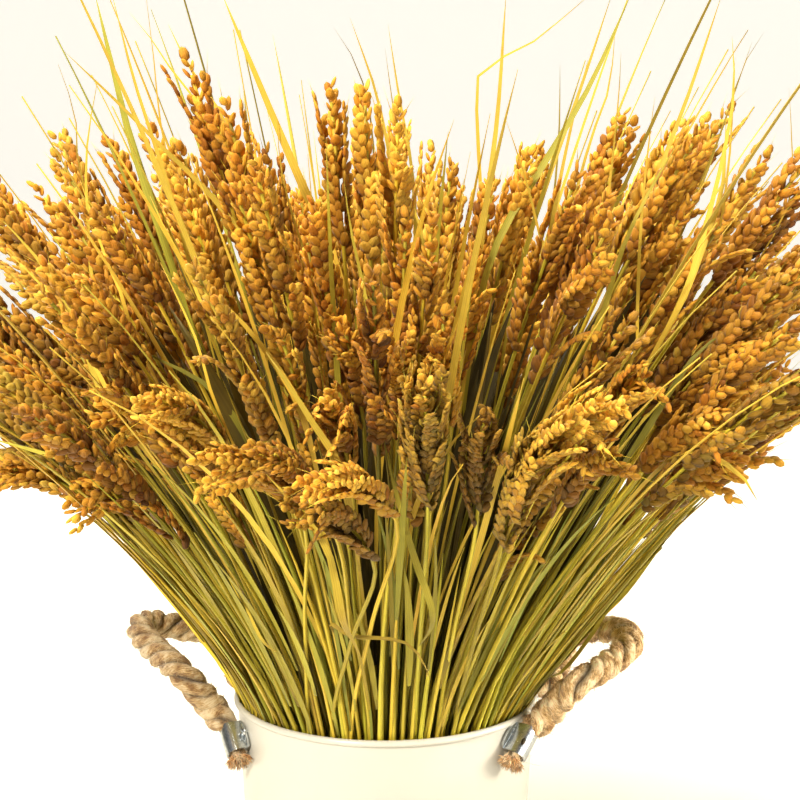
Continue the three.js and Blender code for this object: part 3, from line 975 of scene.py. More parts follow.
@dataclass
class Planting:
    """Where every shoot stands: rows nested from the middle out, as the CAD lays them."""

    row_counts: tuple[int, ...] = (4, 12, 20, 28, 36, 40, 44)
    row_turn: float = 0.4
    shoots_per_tiller: int = 4
    leaf_every: int = 7
    foot_row_radius: float = 50.0
    foot_spacing: float = 3.7
    foot_gathering: float = 0.84
    rim_row_radius: float = 65.2
    edge_angle: float = math.radians(53)
    reach_up: float = 252.0
    reach_out: float = 60.0
    stagger: tuple[float, ...] = (1.03, 0.88, 1.0, 0.91)
    leaf_reach: float = 1.2
    # How much the crown's top rises or dips, by how far across it is
    tops: tuple[Point, ...] = (
        (-240, 0), (-134, -8), (-88, 12), (-27, 12), (22, -10), (48, -20), (90, -16), (145, 4), (240, 0),
    )
    # Ears between the CAD's rows: the row's place between 0 and 7, and how many
    between: tuple[tuple[float, int], ...] = ((3.5, 8), (4.5, 14), (5.5, 16), (6.45, 14))

    def dome(self, slope: float) -> float:
        """Gives the crown's reach from the rim's middle at an angle from upright."""
        return self.reach_up + self.reach_out * math.sin(slope / self.edge_angle * math.pi * 0.85)

    def tip(self, slope: float, azimuth: float, reach: float) -> tuple[float, float]:
        """Gives a tip's radius and height.

        Args:
            slope: The angle from upright.
            azimuth: The angle round the pail.
            reach: The distance from the rim's middle.

        Returns:
            The tip's radius and its height.
        """
        radius = reach * math.sin(slope)
        lift = float(np.interp(radius * math.cos(azimuth), *zip(*self.tops)))
        return radius, PAIL_HEIGHT + reach * math.cos(slope) + lift * math.cos(slope) ** 2

    def shoots(self) -> list[Shoot]:
        """Lays out the CAD's shoots.

        Returns:
            The shoots, row by row.
        """
        found: list[Shoot] = []
        first_tiller = 0
        for row, count in enumerate(self.row_counts):
            share = (row + 1) / len(self.row_counts)
            spacing = TURN / count
            for place in range(count):
                index = len(found)
                tiller = place // self.shoots_per_tiller
                is_leaf = index % self.leaf_every == 3
                azimuth = (place + self.row_turn * row + 0.2 * (draw(index, 0) - 0.5)) * spacing
                middle = tiller * self.shoots_per_tiller + (self.shoots_per_tiller - 1) / 2
                slope = share * self.edge_angle + 0.04 * (draw(index, 1) - 0.5)
                stagger = self.stagger[place % len(self.stagger)] + 0.03 * (draw(index, 2) - 0.5)
                reach = self.dome(slope) * (self.leaf_reach + 0.12 * draw(index, 2) if is_leaf else stagger)
                tip_radius, tip_height = self.tip(slope, azimuth, reach)
                shoot = Shoot(
                    index=index,
                    is_leaf=is_leaf,
                    azimuth=azimuth,
                    tiller=first_tiller + tiller,
                    tiller_azimuth=(middle + self.row_turn * row) * spacing,
                    foot_offset=(place - middle) * self.foot_spacing,
                    foot_radius=self.foot_row_radius * share if row else 0.0,
                    rim_radius=self.rim_row_radius * share,
                    tip_radius=tip_radius,
                    tip_height=tip_height,
                    share=share,
                )
                found.append(shoot)
            first_tiller += count // self.shoots_per_tiller
        return found

    def nearest_tiller(self, row: float, azimuth: float) -> int:
        """Finds the CAD tiller that stands nearest.

        Args:
            row: The row's place, where the outermost row is 7.
            azimuth: The angle round the pail.

        Returns:
            The tiller's number, from 0.
        """
        whole = min(max(round(row) - 1, 0), len(self.row_counts) - 1)
        tillers = self.row_counts[whole] // self.shoots_per_tiller
        first = sum(count // self.shoots_per_tiller for count in self.row_counts[:whole])
        turn = azimuth / TURN * self.row_counts[whole] - self.row_turn * whole
        return first + int(turn // self.shoots_per_tiller) % tillers

    def free_shoot(
        self, index: int, row: float, azimuth: float, reach: float, rim: float | None = None
    ) -> Shoot:
        """Makes a shoot that stands between the CAD's rows.

        Args:
            index: Its number, for the draws.
            row: The row's place, where the outermost row is 7.
            azimuth: The angle round the pail.
            reach: How far it reaches, as a share of the dome.
            rim: Its distance from the middle at the rim, if it isn't the row's own.

        Returns:
            The shoot.
        """
        share = row / len(self.row_counts)
        slope = share * self.edge_angle
        tip_radius, tip_height = self.tip(slope, azimuth, self.dome(slope) * reach)
        rim_radius = self.rim_row_radius * share if rim is None else rim
        return Shoot(
            index=index,
            is_leaf=False,
            azimuth=azimuth,
            tiller=self.nearest_tiller(row, azimuth),
            tiller_azimuth=azimuth,
            foot_offset=0.0,
            foot_radius=self.foot_gathering * rim_radius,
            rim_radius=rim_radius,
            tip_radius=tip_radius,
            tip_height=tip_height,
            share=share,
        )

    def ears_between(self) -> list[Shoot]:
        """Lays out further ears in the gaps between the CAD's rows.

        Returns:
            The further shoots.
        """
        found = []
        for row, count in self.between:
            for place in range(count):
                index = DrawBase.EARS_BETWEEN.value + int(row * 100) + place
                azimuth = (place + 0.5 + 0.5 * (draw(index, 0) - 0.5)) * TURN / count
                nudged = row + 0.3 * (draw(index, 1) - 0.5)
                found.append(self.free_shoot(index, nudged, azimuth, 0.84 + 0.18 * draw(index, 2)))
        return found


# Ears, culms and blades


def make_grain_pattern(segments: int, rings: int) -> Pattern:
    """Models one husked grain with edit operators and keeps it as a pattern.

    Args:
        segments: How many sides it has.
        rings: How many bands it has from root to tip.

    Returns:
        A grain of length 1 along Z from 0, and of width and depth 1.
    """
    lifted = 2.0
    deselect_all()
    bpy.ops.mesh.primitive_uv_sphere_add(segments=segments, ring_count=rings, radius=0.5, calc_uvs=True)
    ball = bpy.context.object
    mesh = ball.data
    levels = sorted({round(v.co.z, 4) for v in mesh.vertices})
    shares, quarters = np.linspace(0, 1, len(levels)), [0, 0.25, 0.5, 0.75, 1]
    fullness = np.interp(shares, quarters, [1, 1.12, 1.0, 1.04, 1])
    heights = np.interp(shares, quarters, [0, 0.15, 0.46, 0.82, 1])
    bpy.ops.object.mode_set(mode="EDIT")
    bpy.ops.mesh.select_mode(type="VERT")
    for level, full, height in zip(levels, fullness, heights):
        bpy.ops.mesh.select_all(action="DESELECT")
        bpy.ops.object.mode_set(mode="OBJECT")
        for vertex in mesh.vertices:
            vertex.select = abs(vertex.co.z - level) < 1e-3
        bpy.ops.object.mode_set(mode="EDIT")
        bpy.ops.transform.resize(value=(full, full, 1), center_override=(0, 0, level))
        bpy.ops.transform.translate(value=(0, 0.04 * math.sin(math.pi * height), height + lifted - level))
    bpy.ops.object.mode_set(mode="OBJECT")
    points = np.array([v.co[:] for v in mesh.vertices]) - [0, 0, lifted]
    uv = np.array([loop.uv[:] for loop in mesh.uv_layers.active.data])
    faces, uvs = [], []
    for size in (3, 4):
        chosen = [p for p in mesh.polygons if len(p.vertices) == size]
        faces.append(np.array([list(p.vertices) for p in chosen]))
        uvs.append(np.array([uv[list(p.loop_indices)] for p in chosen]))
    bpy.data.objects.remove(ball)
    return Pattern(points, faces, uvs)


@dataclass
class EarStyle:
    """The build of a rice ear: its branches, and the size of its grains and awns."""

    grain: Pattern
    branches: int = 8
    branch_length: float = 44.0
    branch_reach: float = 5.6
    branch_radius: float = 0.45
    branch_sides: int = 3
    grain_step: float = 2.6
    grain_length: float = 6.9
    grain_width: float = 4.65
    grain_depth: float = 2.05
    awn_share: float = 0.3
    awn_length: tuple[float, float] = (3.0, 11.0)
    awn_radius: float = 0.16

    def scaled(self, scale: float) -> "EarStyle":
        """Gives the same ear with finer grains."""
        sizes = ("grain_step", "grain_length", "grain_width", "grain_depth")
        return replace(self, **{name: getattr(self, name) * scale for name in sizes})


@dataclass
class Ear:
    """A rice ear on the end of a culm: fine branches all round its axis, each a braid of two rows of grains.

    The hue is the ear's own tint, green share and painted light share. The girth says how wide and how rich
    in branches the ear is, where 1 is usual.
    """

    style: EarStyle
    heap: MeshHeap
    line: GrowthLine
    rng: Random
    hue: Tone
    girth: float = 1.0

    def grow(self, fullness: float) -> None:
        """Grows the ear.

        Args:
            fullness: 1 for an ear that shows all over, and less where only its top shows.
        """
        style, rng, whole = self.style, self.rng, self.line.ear_length
        start = self.line.length - whole
        count = max(3, round(style.branches * (0.3 + 0.7 * fullness) * self.girth))
        turn = rng.uniform(0, TURN)
        for number, spot in enumerate(np.linspace((1 - fullness) * 0.6, 0.6, count)):
            angle = turn + number * 2.4 + rng.normal(0, 0.25)
            length = min(style.branch_length * rng.uniform(0.85, 1.15), whole * (1.0 - spot))
            self.add_branch(start + spot * whole, length, angle)
        tip = np.arange(0.62 * whole, whole - 2, style.grain_step * 0.9)
        places, tangent, sideways, outwards = self.line.at(start + tip)
        angles = turn + np.arange(len(tip)) * 2.4
        away = np.cos(angles)[:, None] * sideways + np.sin(angles)[:, None] * outwards
        self.add_grains(places + away * 0.5, tangent, away, away, self.hue, 0.45)

    def add_branch(self, start: float, length: float, angle: float) -> None:
        """Adds one branch with its grains.

        Args:
            start: Where the branch leaves the culm, in millimetres from its foot.
            length: The branch's length.
            angle: The direction round the culm that it leaves in.
        """
        rng, hue, droop = self.rng, self.hue, self.line.droop
        along = np.arange(0.0, length, self.style.grain_step)
        share = along / length
        places, tangent, sideways, outwards = self.line.at(start + along * 0.97)
        away = math.cos(angle) * sideways + math.sin(angle) * outwards
        beside = np.cross(tangent, away)
        reach = self.style.branch_reach * (0.65 + 0.35 * self.girth) * rng.uniform(0.7, 1.15)
        path = places + away * (reach * (1 - (1 - share) ** 2.4))[:, None]
        path += beside * (rng.normal(0, 1.4) * share**2)[:, None]
        path -= UP * (rng.uniform(1.0, 7.0) * droop * share**2.5)[:, None]
        if rng.random() < 0.3 * droop:
            path += (UP * -7.0 + outwards[-1] * 3.0) * (share**3)[:, None]
        path += away * (rng.normal(0.4, 1.2) * share**3)[:, None]
        direction = unit(np.gradient(path, axis=0))
        side = unit(np.cross(direction, away))
        coarse = slice(None, None, 4)
        stalk = round_section(np.full(len(along[coarse]), self.style.branch_radius), self.style.branch_sides)
        frame = (path[coarse], side[coarse], np.cross(side, direction)[coarse])
        self.heap.add_sweep(*frame, stalk, (0.55, hue[1], 0.9), RicePart.STRAW.value)
        fork = np.where(np.arange(len(along)) % 2, 1.0, -1.0)[:, None]
        lean = side * fork * 0.95 + away * rng.uniform(0.1, 0.45, (len(along), 1))
        # Painted light and shade: grains near the branch's foot, deep in the ear, are darker, and those
        # towards its end lighter and more golden, a painted highlight
        lit = (hue[0] - 0.1 + 0.18 * share[1:] ** 2, hue[1], hue[2] * (0.48 + 0.6 * share[1:]))
        self.add_grains(path[1:], direction[1:], lean[1:], away[1:], lit, 0.44)

    def add_grains(
        self, roots: Array, along: Array, lean: Array, face: Array, hue: tuple, opening: float
    ) -> None:
        """Adds a grain at each root, and an awn on a few of them.

        Args:
            roots: Where the grains sit.
            along: The branch's direction at each root.
            lean: The direction that each grain leans to.
            face: The direction that each grain's broad side faces.
            hue: The grains' tone, where each of its parts is one number or a number for each grain.
            opening: The angle between grain and branch, in radians.
        """
        rng, style, count = self.rng, self.style, len(roots)
        angle = opening + rng.normal(0, 0.1, (count, 1))
        axis = unit(along * np.cos(angle) + unit(lean) * np.sin(angle))
        broad = unit(np.cross(face + rng.normal(0, 0.2, (count, 3)), axis))
        frames = np.stack([broad, np.cross(axis, broad), axis], 1)
        size = rng.normal(1.0, 0.07, (count, 1)) * np.linspace(1.08, 0.74, count)[:, None]
        usual = [style.grain_width, style.grain_depth, style.grain_length]
        sizes = size * usual * rng.normal(1, 0.04, (count, 3))
        tones = np.empty((count, 3))
        for k, (spread, low, high) in enumerate(((0.15, 0.02, 0.98), (0.08, 0, 0.9), (0.08, 0.3, 1.5))):
            tones[:, k] = np.clip(hue[k] + rng.normal(0, spread, count), low, high)
        self.heap.add_copies(style.grain, roots - axis * 0.4, frames, sizes, tones, RicePart.HUSK.value)
        bearded = rng.random(count) < style.awn_share * np.linspace(0, 1, count) ** 2
        starts = (roots + axis * (sizes[:, 2:] - 1.0))[bearded]
        reach = rng.uniform(*style.awn_length, (len(starts), 1))
        drift = rng.normal(0, 0.15, (len(starts), 3))
        ends = starts + unit(0.6 * axis[bearded] + 0.4 * along[bearded] + drift) * reach
        self.heap.add_spikes(starts, ends, style.awn_radius, tones[bearded], (0.0, 0.7), RicePart.STRAW.value)


@dataclass
class Culm:
    """A straw stem: round, a little wider at its foot, and slimmer towards the ear."""

    radius: float = 1.15
    sides: int = 5

    def grow(
        self, heap: MeshHeap, line: GrowthLine, end: float, steps: int, hue: Tone, radius: float | None = None
    ) -> None:
        """Grows a culm from its foot.

        Args:
            heap: Where the faces go.
            line: The culm's line.
            end: Where it ends, in millimetres from its foot.
            steps: How many stations it has above the rim.
            hue: Its tone.
            radius: Its radius, if it isn't the usual one; such a culm bears no ear and ends in a fine point.
        """
        rim = min(line.rim_length, end - 5)
        distances = np.concatenate([[0.0, rim * 0.5, rim * 0.86], np.linspace(rim, end, steps)])
        places, _, sideways, outwards = line.at(distances)
        share = distances / end
        radii = (self.radius if radius is None else radius) * (1.08 - 0.45 * share)
        if radius is not None:
            radii = radii * np.interp(share, [0.0, 0.84, 1.0], [1.0, 1.0, 0.1])
        section = round_section(radii, self.sides)
        heap.add_sweep(places, sideways, outwards, section, hue, RicePart.STRAW.value)


def blade_widths(share: Array, half_width: float) -> Array:
    """Gives half the width along a blade, whose widest part is the middle of its length."""
    return half_width * np.clip(np.minimum(0.45 + share * 1.4, 1.0) * (1.02 - share**3.2), 0.03, 1)


@dataclass
class Blade:
    """A long leaf blade, folded a little along its midrib and tapering to a fine point."""

    half_width: float = 1.4
    fold: float = 0.8
    thickness: float = 0.3

    def add(self, heap: MeshHeap, path: Array, sideways: Array, hue: Tone, widths: Array) -> None:
        """Adds a blade along a path.

        Args:
            heap: Where the faces go.
            path: The midrib's points.
            sideways: A direction across the blade at each point.
            hue: The blade's tone.
            widths: Half the blade's width at each point.
        """
        tangent = unit(np.gradient(path, axis=0))
        sideways = unit(sideways - (sideways * tangent).sum(1, keepdims=True) * tangent)
        outwards = np.cross(sideways, tangent)
        lift = np.minimum(self.fold, widths * 0.45)
        section = np.zeros((len(path), 4, 2))
        section[:, 0, 0], section[:, 2, 0] = widths, -widths
        section[:, 1, 1], section[:, 3, 1] = -lift - self.thickness, -lift + self.thickness
        heap.add_sweep(path, sideways, outwards, section, hue, RicePart.BLADE.value, True)


@dataclass(frozen=True)
class SeenEar:
    """An ear that the photograph shows plainly: its tip and start as pixels, and how far off they are.

    The hue is its tint, green share and painted light share, and the girth is 1 for a usual ear.
    """

    tip: Point
    start: Point
    tip_depth: float
    start_depth: float
    hue: Tone
    girth: float = 1.0


SEEN_EARS = {
    "middle_green": SeenEar((424, 384), (428, 514), -206, -160, (0.42, 0.42, 0.8), 1.8),
    "pale_left": SeenEar((312, 478), (396, 520), -206, -164, (0.68, 0.0, 1.1), 1.2),
    "upper_left": SeenEar((326, 398), (350, 476), -186, -146, (0.6, 0.0, 1.0), 1.15),
    "top_gold": SeenEar((440, 338), (450, 440), -168, -126, (0.8, 0.05, 1.2), 1.1),
    "dull_left": SeenEar((296, 500), (374, 562), -196, -158, (0.42, 0.25, 0.8), 1.2),
    "brown_middle": SeenEar((484, 412), (476, 530), -188, -146, (0.32, 0.3, 0.64), 1.2),
    "green_right": SeenEar((536, 430), (500, 556), -190, -150, (0.48, 0.45, 0.82), 1.2),
    "bright_right": SeenEar((606, 396), (542, 482), -196, -156, (0.85, 0.05, 1.15), 1.35),
    "pale_right": SeenEar((572, 414), (514, 520), -204, -164, (0.7, 0.2, 1.0), 1.3),
    "low_left": SeenEar((262, 446), (336, 536), -190, -150, (0.42, 0.15, 0.82), 1.15),
    "long_left": SeenEar((206, 456), (300, 512), -180, -142, (0.68, 0.05, 1.05), 1.1),
    "outer_left": SeenEar((146, 396), (232, 462), -162, -122, (0.75, 0.05, 1.05), 1.1),
    "far_right": SeenEar((760, 346), (664, 414), -108, -84, (0.66, 0.0, 1.0), 1.1),
    "far_right_low": SeenEar((730, 418), (638, 476), -128, -98, (0.6, 0.0, 1.0), 1.1),
    "lowest_right": SeenEar((748, 458), (652, 504), -108, -80, (0.55, 0.05, 0.95)),
    "high_right": SeenEar((650, 368), (588, 460), -158, -122, (0.58, 0.0, 0.95), 1.15),
    "low_right": SeenEar((624, 448), (552, 520), -180, -146, (0.45, 0.15, 0.9)),
    "far_left_low": SeenEar((70, 488), (166, 530), -90, -66, (0.55, 0.1, 1.05)),
    "left_edge": SeenEar((-6, 468), (100, 512), -84, -60, (0.5, 0.15, 1.05)),
    "far_left": SeenEar((104, 400), (198, 478), -130, -98, (0.55, 0.05, 1.05)),
    "high_left": SeenEar((342, 322), (364, 430), -130, -92, (0.5, 0.0, 0.95)),
    "high_middle": SeenEar((392, 346), (400, 450), -158, -116, (0.62, 0.0, 0.9), 1.2),
}


@dataclass(frozen=True)
class SeenBlade:
    """A blade that the photograph shows plainly: the pixels that it passes, how far off, and its look."""

    stops: tuple[Point, ...]
    depth: float
    half_width: float
    tint: float
    green: float
    # A painted light share: below 1 it dims a blade that stands in shade, above 1 it brightens one in light
    light: float = 1.0


SEEN_BLADES = {
    "broad_green": SeenBlade(((165, 245), (150, 200), (128, 130), (118, 90), (95, -6)), -70, 1.9, 0.45, 0.7),
    "green_mate": SeenBlade(((172, 200), (150, 130), (134, 80), (112, -6)), -60, 1.0, 0.7, 0.15),
    "long_brown": SeenBlade(((262, 272), (215, 200), (160, 145), (110, 95), (65, 52)), -85, 1.1, 0.35, 0.1),
    "bright_gold": SeenBlade(
        ((345, 300), (325, 235), (300, 180), (262, 90), (222, -6)), -95, 1.8, 0.62, 0.05
    ),
    "broad_yellow": SeenBlade(
        ((262, 232), (245, 170), (218, 110), (192, 72), (168, 24)), -60, 1.3, 0.8, 0.05
    ),
    "left_curve": SeenBlade(((98, 306), (88, 220), (86, 160), (92, 110), (97, 84)), -80, 0.8, 0.8, 0.15),
    "left_awn": SeenBlade(((80, 172), (75, 115), (58, 64)), -60, 0.5, 0.25, 0.0),
    "top_awn": SeenBlade(((160, 120), (155, 70), (146, -4)), -30, 0.5, 0.6, 0.1),
    "middle_thin": SeenBlade(((405, 315), (400, 230), (378, 100), (350, 18)), -80, 0.9, 0.5, 0.2),
    "middle_mate": SeenBlade(((416, 260), (412, 170), (398, 90), (388, 24)), -70, 0.8, 0.7, 0.25),
    "middle_awn": SeenBlade(((408, 250), (405, 200), (385, 48)), -60, 0.5, 0.4, 0.1),
    "centre_gold": SeenBlade(((470, 335), (480, 250), (497, 120), (506, -6)), -90, 1.2, 0.62, 0.15),
    "kinked": SeenBlade(
        ((486, 280), (480, 180), (477, 84), (480, 72), (497, 60), (530, 44), (586, -2)), -40, 0.8, 0.66, 0.0
    ),
    "olive": SeenBlade(((482, 290), (503, 230), (540, 170), (590, 85), (631, -6)), -90, 1.5, 0.4, 0.6),
    "olive_mate": SeenBlade(((520, 270), (548, 180), (580, 90), (612, -6)), -80, 1.0, 0.6, 0.3),
    "right_thin": SeenBlade(((545, 265), (560, 180), (575, 110), (588, 60)), -60, 1.0, 0.6, 0.2),
    "far_right": SeenBlade(((640, 255), (650, 200), (690, 90), (722, -6)), -70, 1.1, 0.66, 0.15),
    "right_awn": SeenBlade(((712, 255), (728, 170), (735, 58)), -50, 0.7, 0.6, 0.1),
    "right_dark": SeenBlade(((700, 190), (725, 120), (752, 42)), -40, 0.6, 0.3, 0.2),
    "edge_awn": SeenBlade(((790, 200), (792, 150), (789, 88)), -20, 0.5, 0.5, 0.1),
    "right_long": SeenBlade(((598, 330), (622, 250), (650, 190), (680, 140)), -100, 1.1, 0.5, 0.45),
    "right_broad": SeenBlade(((682, 300), (702, 250), (722, 190), (726, 120)), -90, 1.5, 0.8, 0.1),
    "yellow_tip": SeenBlade(((690, 450), (722, 462), (742, 476), (757, 500)), -118, 1.9, 1.0, 0.0, 1.1),
    "right_sweep": SeenBlade(
        ((552, 668), (585, 630), (622, 596), (655, 552), (682, 518), (706, 498)), -12, 1.2, 0.35, 0.4
    ),
    "right_curl": SeenBlade(
        ((556, 676), (592, 634), (618, 590), (645, 550), (664, 520), (684, 500)), -20, 1.0, 0.3, 0.3
    ),
    "fallen_strand": SeenBlade(
        ((332, 624), (343, 632), (357, 637), (379, 638), (404, 642), (419, 655), (431, 680)),
        -112, 1.0, 0.1, 0.0, 1.1,
    ),
    "shaded_broad": SeenBlade(
        ((346, 492), (338, 462), (312, 422), (292, 390), (266, 352)), -186, 1.7, 0.35, 0.1, 0.9
    ),
    "lower_broad": SeenBlade(
        ((340, 610), (333, 569), (325, 544), (300, 511), (266, 474)), -186, 1.6, 0.45, 0.2, 0.95
    ),
    "centre_sheath": SeenBlade(((432, 610), (415, 560), (398, 500), (384, 440)), -150, 1.4, 0.3, 0.4, 0.85),
    "left_green": SeenBlade(((118, 470), (60, 458), (25, 448), (-12, 438)), -112, 1.5, 0.7, 0.6, 1.1),
    "folded_sheath": SeenBlade(((262, 640), (248, 612), (236, 592), (226, 574)), -94, 0.7, 0.65, 0.3, 1.0),
    "right_shade": SeenBlade(((640, 440), (668, 395), (700, 350), (730, 330)), -100, 1.5, 0.2, 0.5, 0.6),
    "left_shade": SeenBlade(((236, 420), (200, 380), (172, 366), (140, 350)), -112, 1.5, 0.2, 0.5, 0.6),
    "left_yellow": SeenBlade(
        ((240, 200), (222, 150), (201, 108), (173, 72), (149, 36), (129, 12)), -70, 0.7, 0.75, 0.0, 1.1
    ),
    "left_gold_low": SeenBlade(
        ((132, 330), (121, 293), (105, 257), (90, 209), (80, 180)), -112, 0.9, 0.85, 0.0, 1.15
    ),
    "left_gold_mid": SeenBlade(
        ((240, 380), (209, 322), (189, 273), (165, 229), (150, 196)), -118, 0.9, 0.85, 0.05, 1.15
    ),
    "left_gold_top": SeenBlade(
        ((286, 330), (277, 297), (263, 249), (257, 217), (254, 190)), -110, 0.7, 0.8, 0.0, 1.15
    ),
    "left_long_a": SeenBlade(((110, 410), (96, 382), (76, 322), (36, 257), (-6, 212)), -110, 1.1, 0.6, 0.35),
    "left_long_b": SeenBlade(
        ((118, 412), (105, 386), (84, 346), (52, 297), (8, 252)), -116, 0.9, 0.8, 0.1, 1.1
    ),
    "left_thin_top": SeenBlade(
        ((312, 290), (306, 257), (293, 217), (281, 169), (277, 118)), -96, 0.6, 0.5, 0.1
    ),
    "left_broad_low": SeenBlade(
        ((300, 408), (289, 386), (265, 350), (240, 320), (204, 284)), -150, 1.5, 0.5, 0.05, 0.95
    ),
    "left_straw": SeenBlade(
        ((214, 400), (209, 386), (197, 342), (177, 297), (160, 262)), -134, 0.7, 0.8, 0.0, 1.1
    ),
    "middle_dark_awn": SeenBlade(((372, 130), (362, 80), (350, 52), (334, 28)), -50, 0.5, 0.1, 0.0, 0.7),
    "middle_green": SeenBlade(
        ((376, 400), (374, 342), (362, 281), (350, 225), (344, 180)), -128, 0.9, 0.5, 0.45
    ),
    "middle_olive": SeenBlade(((384, 300), (382, 241), (380, 193), (378, 133)), -90, 0.7, 0.4, 0.6),
    "right_dark_awn": SeenBlade(((552, 210), (559, 133), (560, 64)), -60, 0.6, 0.3, 0.2, 0.8),
    "right_gold_top": SeenBlade(
        ((566, 250), (577, 189), (593, 133), (609, 88), (615, 32)), -70, 0.8, 0.7, 0.15, 1.05
    ),
    "right_gold_mate": SeenBlade(((604, 230), (611, 173), (619, 92), (621, 52)), -64, 0.6, 0.6, 0.1),
    "right_thin_low": SeenBlade(
        ((636, 350), (637, 322), (641, 225), (649, 141), (655, 96)), -90, 0.7, 0.6, 0.1
    ),
    "right_gold_low": SeenBlade(
        ((676, 312), (685, 293), (706, 225), (722, 161), (734, 92), (732, 36)), -96, 1.1, 0.8, 0.0, 1.1
    ),
    "right_awn_top": SeenBlade(((722, 130), (734, 92), (742, 68), (764, 32)), -50, 0.5, 0.3, 0.1, 0.8),
    "centre_brown": SeenBlade(
        ((552, 310), (549, 281), (541, 241), (525, 177), (505, 117)), -100, 0.7, 0.4, 0.0
    ),
    "centre_left_gold": SeenBlade(
        ((434, 330), (430, 289), (420, 225), (400, 177)), -108, 1.1, 0.7, 0.25, 1.05
    ),
    "centre_left_green": SeenBlade(((424, 320), (416, 297), (400, 233), (392, 200)), -116, 0.8, 0.5, 0.6),
}


@dataclass
class RiceBunch:
    """All the rice: the CAD's tillers made fine, with the ears, culms and blades between them."""

    planting: Planting = field(default_factory=Planting)
    culm: Culm = field(default_factory=Culm)
    blade: Blade = field(default_factory=Blade)
    seed: int = 71
    # Plain culms that fill the rim: the row's place, distance from the middle at the rim, and how many
    fillers: tuple[tuple[float, float, int], ...] = (
        (6.95, 66.4, 112), (6.6, 63.6, 92), (6.1, 60.0, 76),
        (5.4, 55.0, 60), (4.4, 46.0, 44), (3.2, 34.0, 30),
    )
    sheath_blades: int = 130
    thin_blades: int = 150
    inner_blades: int = 230
    ear_hang: float = 24.0
    # Where a culm stops inside its ear, in millimetres short of the tip
    tip_gap: float = 8.0
    # Nearer than this depth, an ear that the photograph shows has finer grains
    fine_depth: float = -140.0
    # How much further down its culm an ear sits, by where its tip is across the crown
    trims: tuple[Point, ...] = (
        (-230, 6), (-160, 14), (-134, 26), (-88, 14), (-27, 20),
        (22, 8), (60, 26), (100, 18), (145, 6), (230, 4),
    )
    # Ears that sit lower still, in the pale gap between two groups of ears, by the shoot's number
    sunk_ears: tuple[tuple[int, float], ...] = ((8, 44), (22, 40), (29, 24), (2, 30), (1355, 90), (1352, 30))
    # How much of its length a leafy shoot keeps where the photograph shows no blade, by its number
    cut_leaves: tuple[tuple[int, float], ...] = ((3, 0.84), (31, 0.8), (52, 0.88), (171, 0.74))
    # Where the blades that the photograph shows are rooted: their distance from the middle and their height
    seen_root: Point = (52.0, PAIL_HEIGHT - 12.0)

    def __post_init__(self) -> None:
        """Prepares the source of small differences, the two ear styles and an empty heap for each tiller."""
        self.rng = np.random.default_rng(self.seed)
        self.ear = EarStyle(make_grain_pattern(4, 4))
        self.fine_ear = self.ear.scaled(0.84)
        tillers = sum(self.planting.row_counts) // self.planting.shoots_per_tiller
        self.heaps = [MeshHeap() for _ in range(tillers)]
        self.guided: dict[int, tuple[GuidedLine, SeenEar]] = {}

    def ear_hue(self, shoot: Shoot) -> Tone:
        """Chooses an ear's tone: greener low down at the front, more golden towards the top, with painted
        shade on low ears and a painted glow on ears at the back.

        Args:
            shoot: The shoot.

        Returns:
            The tint, the green share and the light share.
        """
        low = max(0.0, shoot.share - 0.55) / 0.45
        green = np.clip(0.3 * low * self.rng.uniform(0.0, 1.5), 0, 0.6)
        # Painted light: ears at the back get a painted glow, more golden and lighter, and low ears a painted
        # shade
        back = max(0.0, math.sin(shoot.azimuth)) * (1 - low)
        tint = np.clip(self.rng.normal(0.6 - 0.2 * low + 0.12 * back, 0.11), 0.15, 0.9)
        light = self.rng.uniform(0.9, 1.16) - 0.16 * low + 0.15 * back
        return (float(tint), float(green), float(light))

    def straw_hue(self, shade: float = 1.0) -> Tone:
        """Chooses a culm's tone, where the shade is less than 1 for one that stands deep inside.

        Args:
            shade: Less than 1 for a culm that stands deep inside.

        Returns:
            The tint, the green share and the light share.
        """
        tint = self.rng.choice([0.15, 0.35, 0.55, 0.7, 0.85], p=[0.16, 0.26, 0.28, 0.2, 0.1])
        green = np.clip(self.rng.normal(0.35, 0.28), 0, 0.95)
        return (float(tint), float(green), float(self.rng.uniform(0.55, 1.2)) * shade)

    def free_line(self, shoot: Shoot) -> CulmLine:
        """Gives the line of a culm that isn't guided: ears at the front hang most.

        Args:
            shoot: The shoot.

        Returns:
            The culm's line.
        """
        front = max(0.0, -math.sin(shoot.azimuth))
        hang = self.ear_hang * shoot.share**3 * (0.05 + 0.95 * front**2) * (0.2 + 0.8 * draw(shoot.index, 9))
        trim = float(np.interp(shoot.tip_radius * math.cos(shoot.azimuth), *zip(*self.trims)))
        sunk = dict(self.sunk_ears).get(shoot.index, 0.0)
        return CulmLine(shoot, hang=hang, trim=6.0 + sunk + trim * (1 - 0.6 * shoot.share**2))

    def guide_ears(self, shoots: list[Shoot], sight: Sight) -> None:
        """Leads the nearest culm to each ear that the photograph shows plainly.

        Args:
            shoots: The CAD's shoots.
            sight: What turns a pixel and a depth to a place.
        """
        lines = {s.index: CulmLine(s) for s in shoots if not s.is_leaf and s.share > 0.5}
        tips = {index: line.at(np.array([line.length]))[0][0] for index, line in lines.items()}
        for ear in SEEN_EARS.values():
            tip, start = sight.place(*ear.tip, ear.tip_depth), sight.place(*ear.start, ear.start_depth)
            nearest = min(tips, key=lambda index: float(np.linalg.norm(tips[index] - tip)))
            del tips[nearest]
            rim = lines[nearest].rim_length
            low = lines[nearest].at(np.array([0.0, rim * 0.5, rim]))[0]
            between = 0.5 * (low[2] + start) + [0.0, 0.0, 5.0]
            bend = 0.5 * (start + tip) + [0.0, 0.0, 6.0]
            self.guided[nearest] = (GuidedLine(np.vstack([low, between, start, bend, tip])), ear)

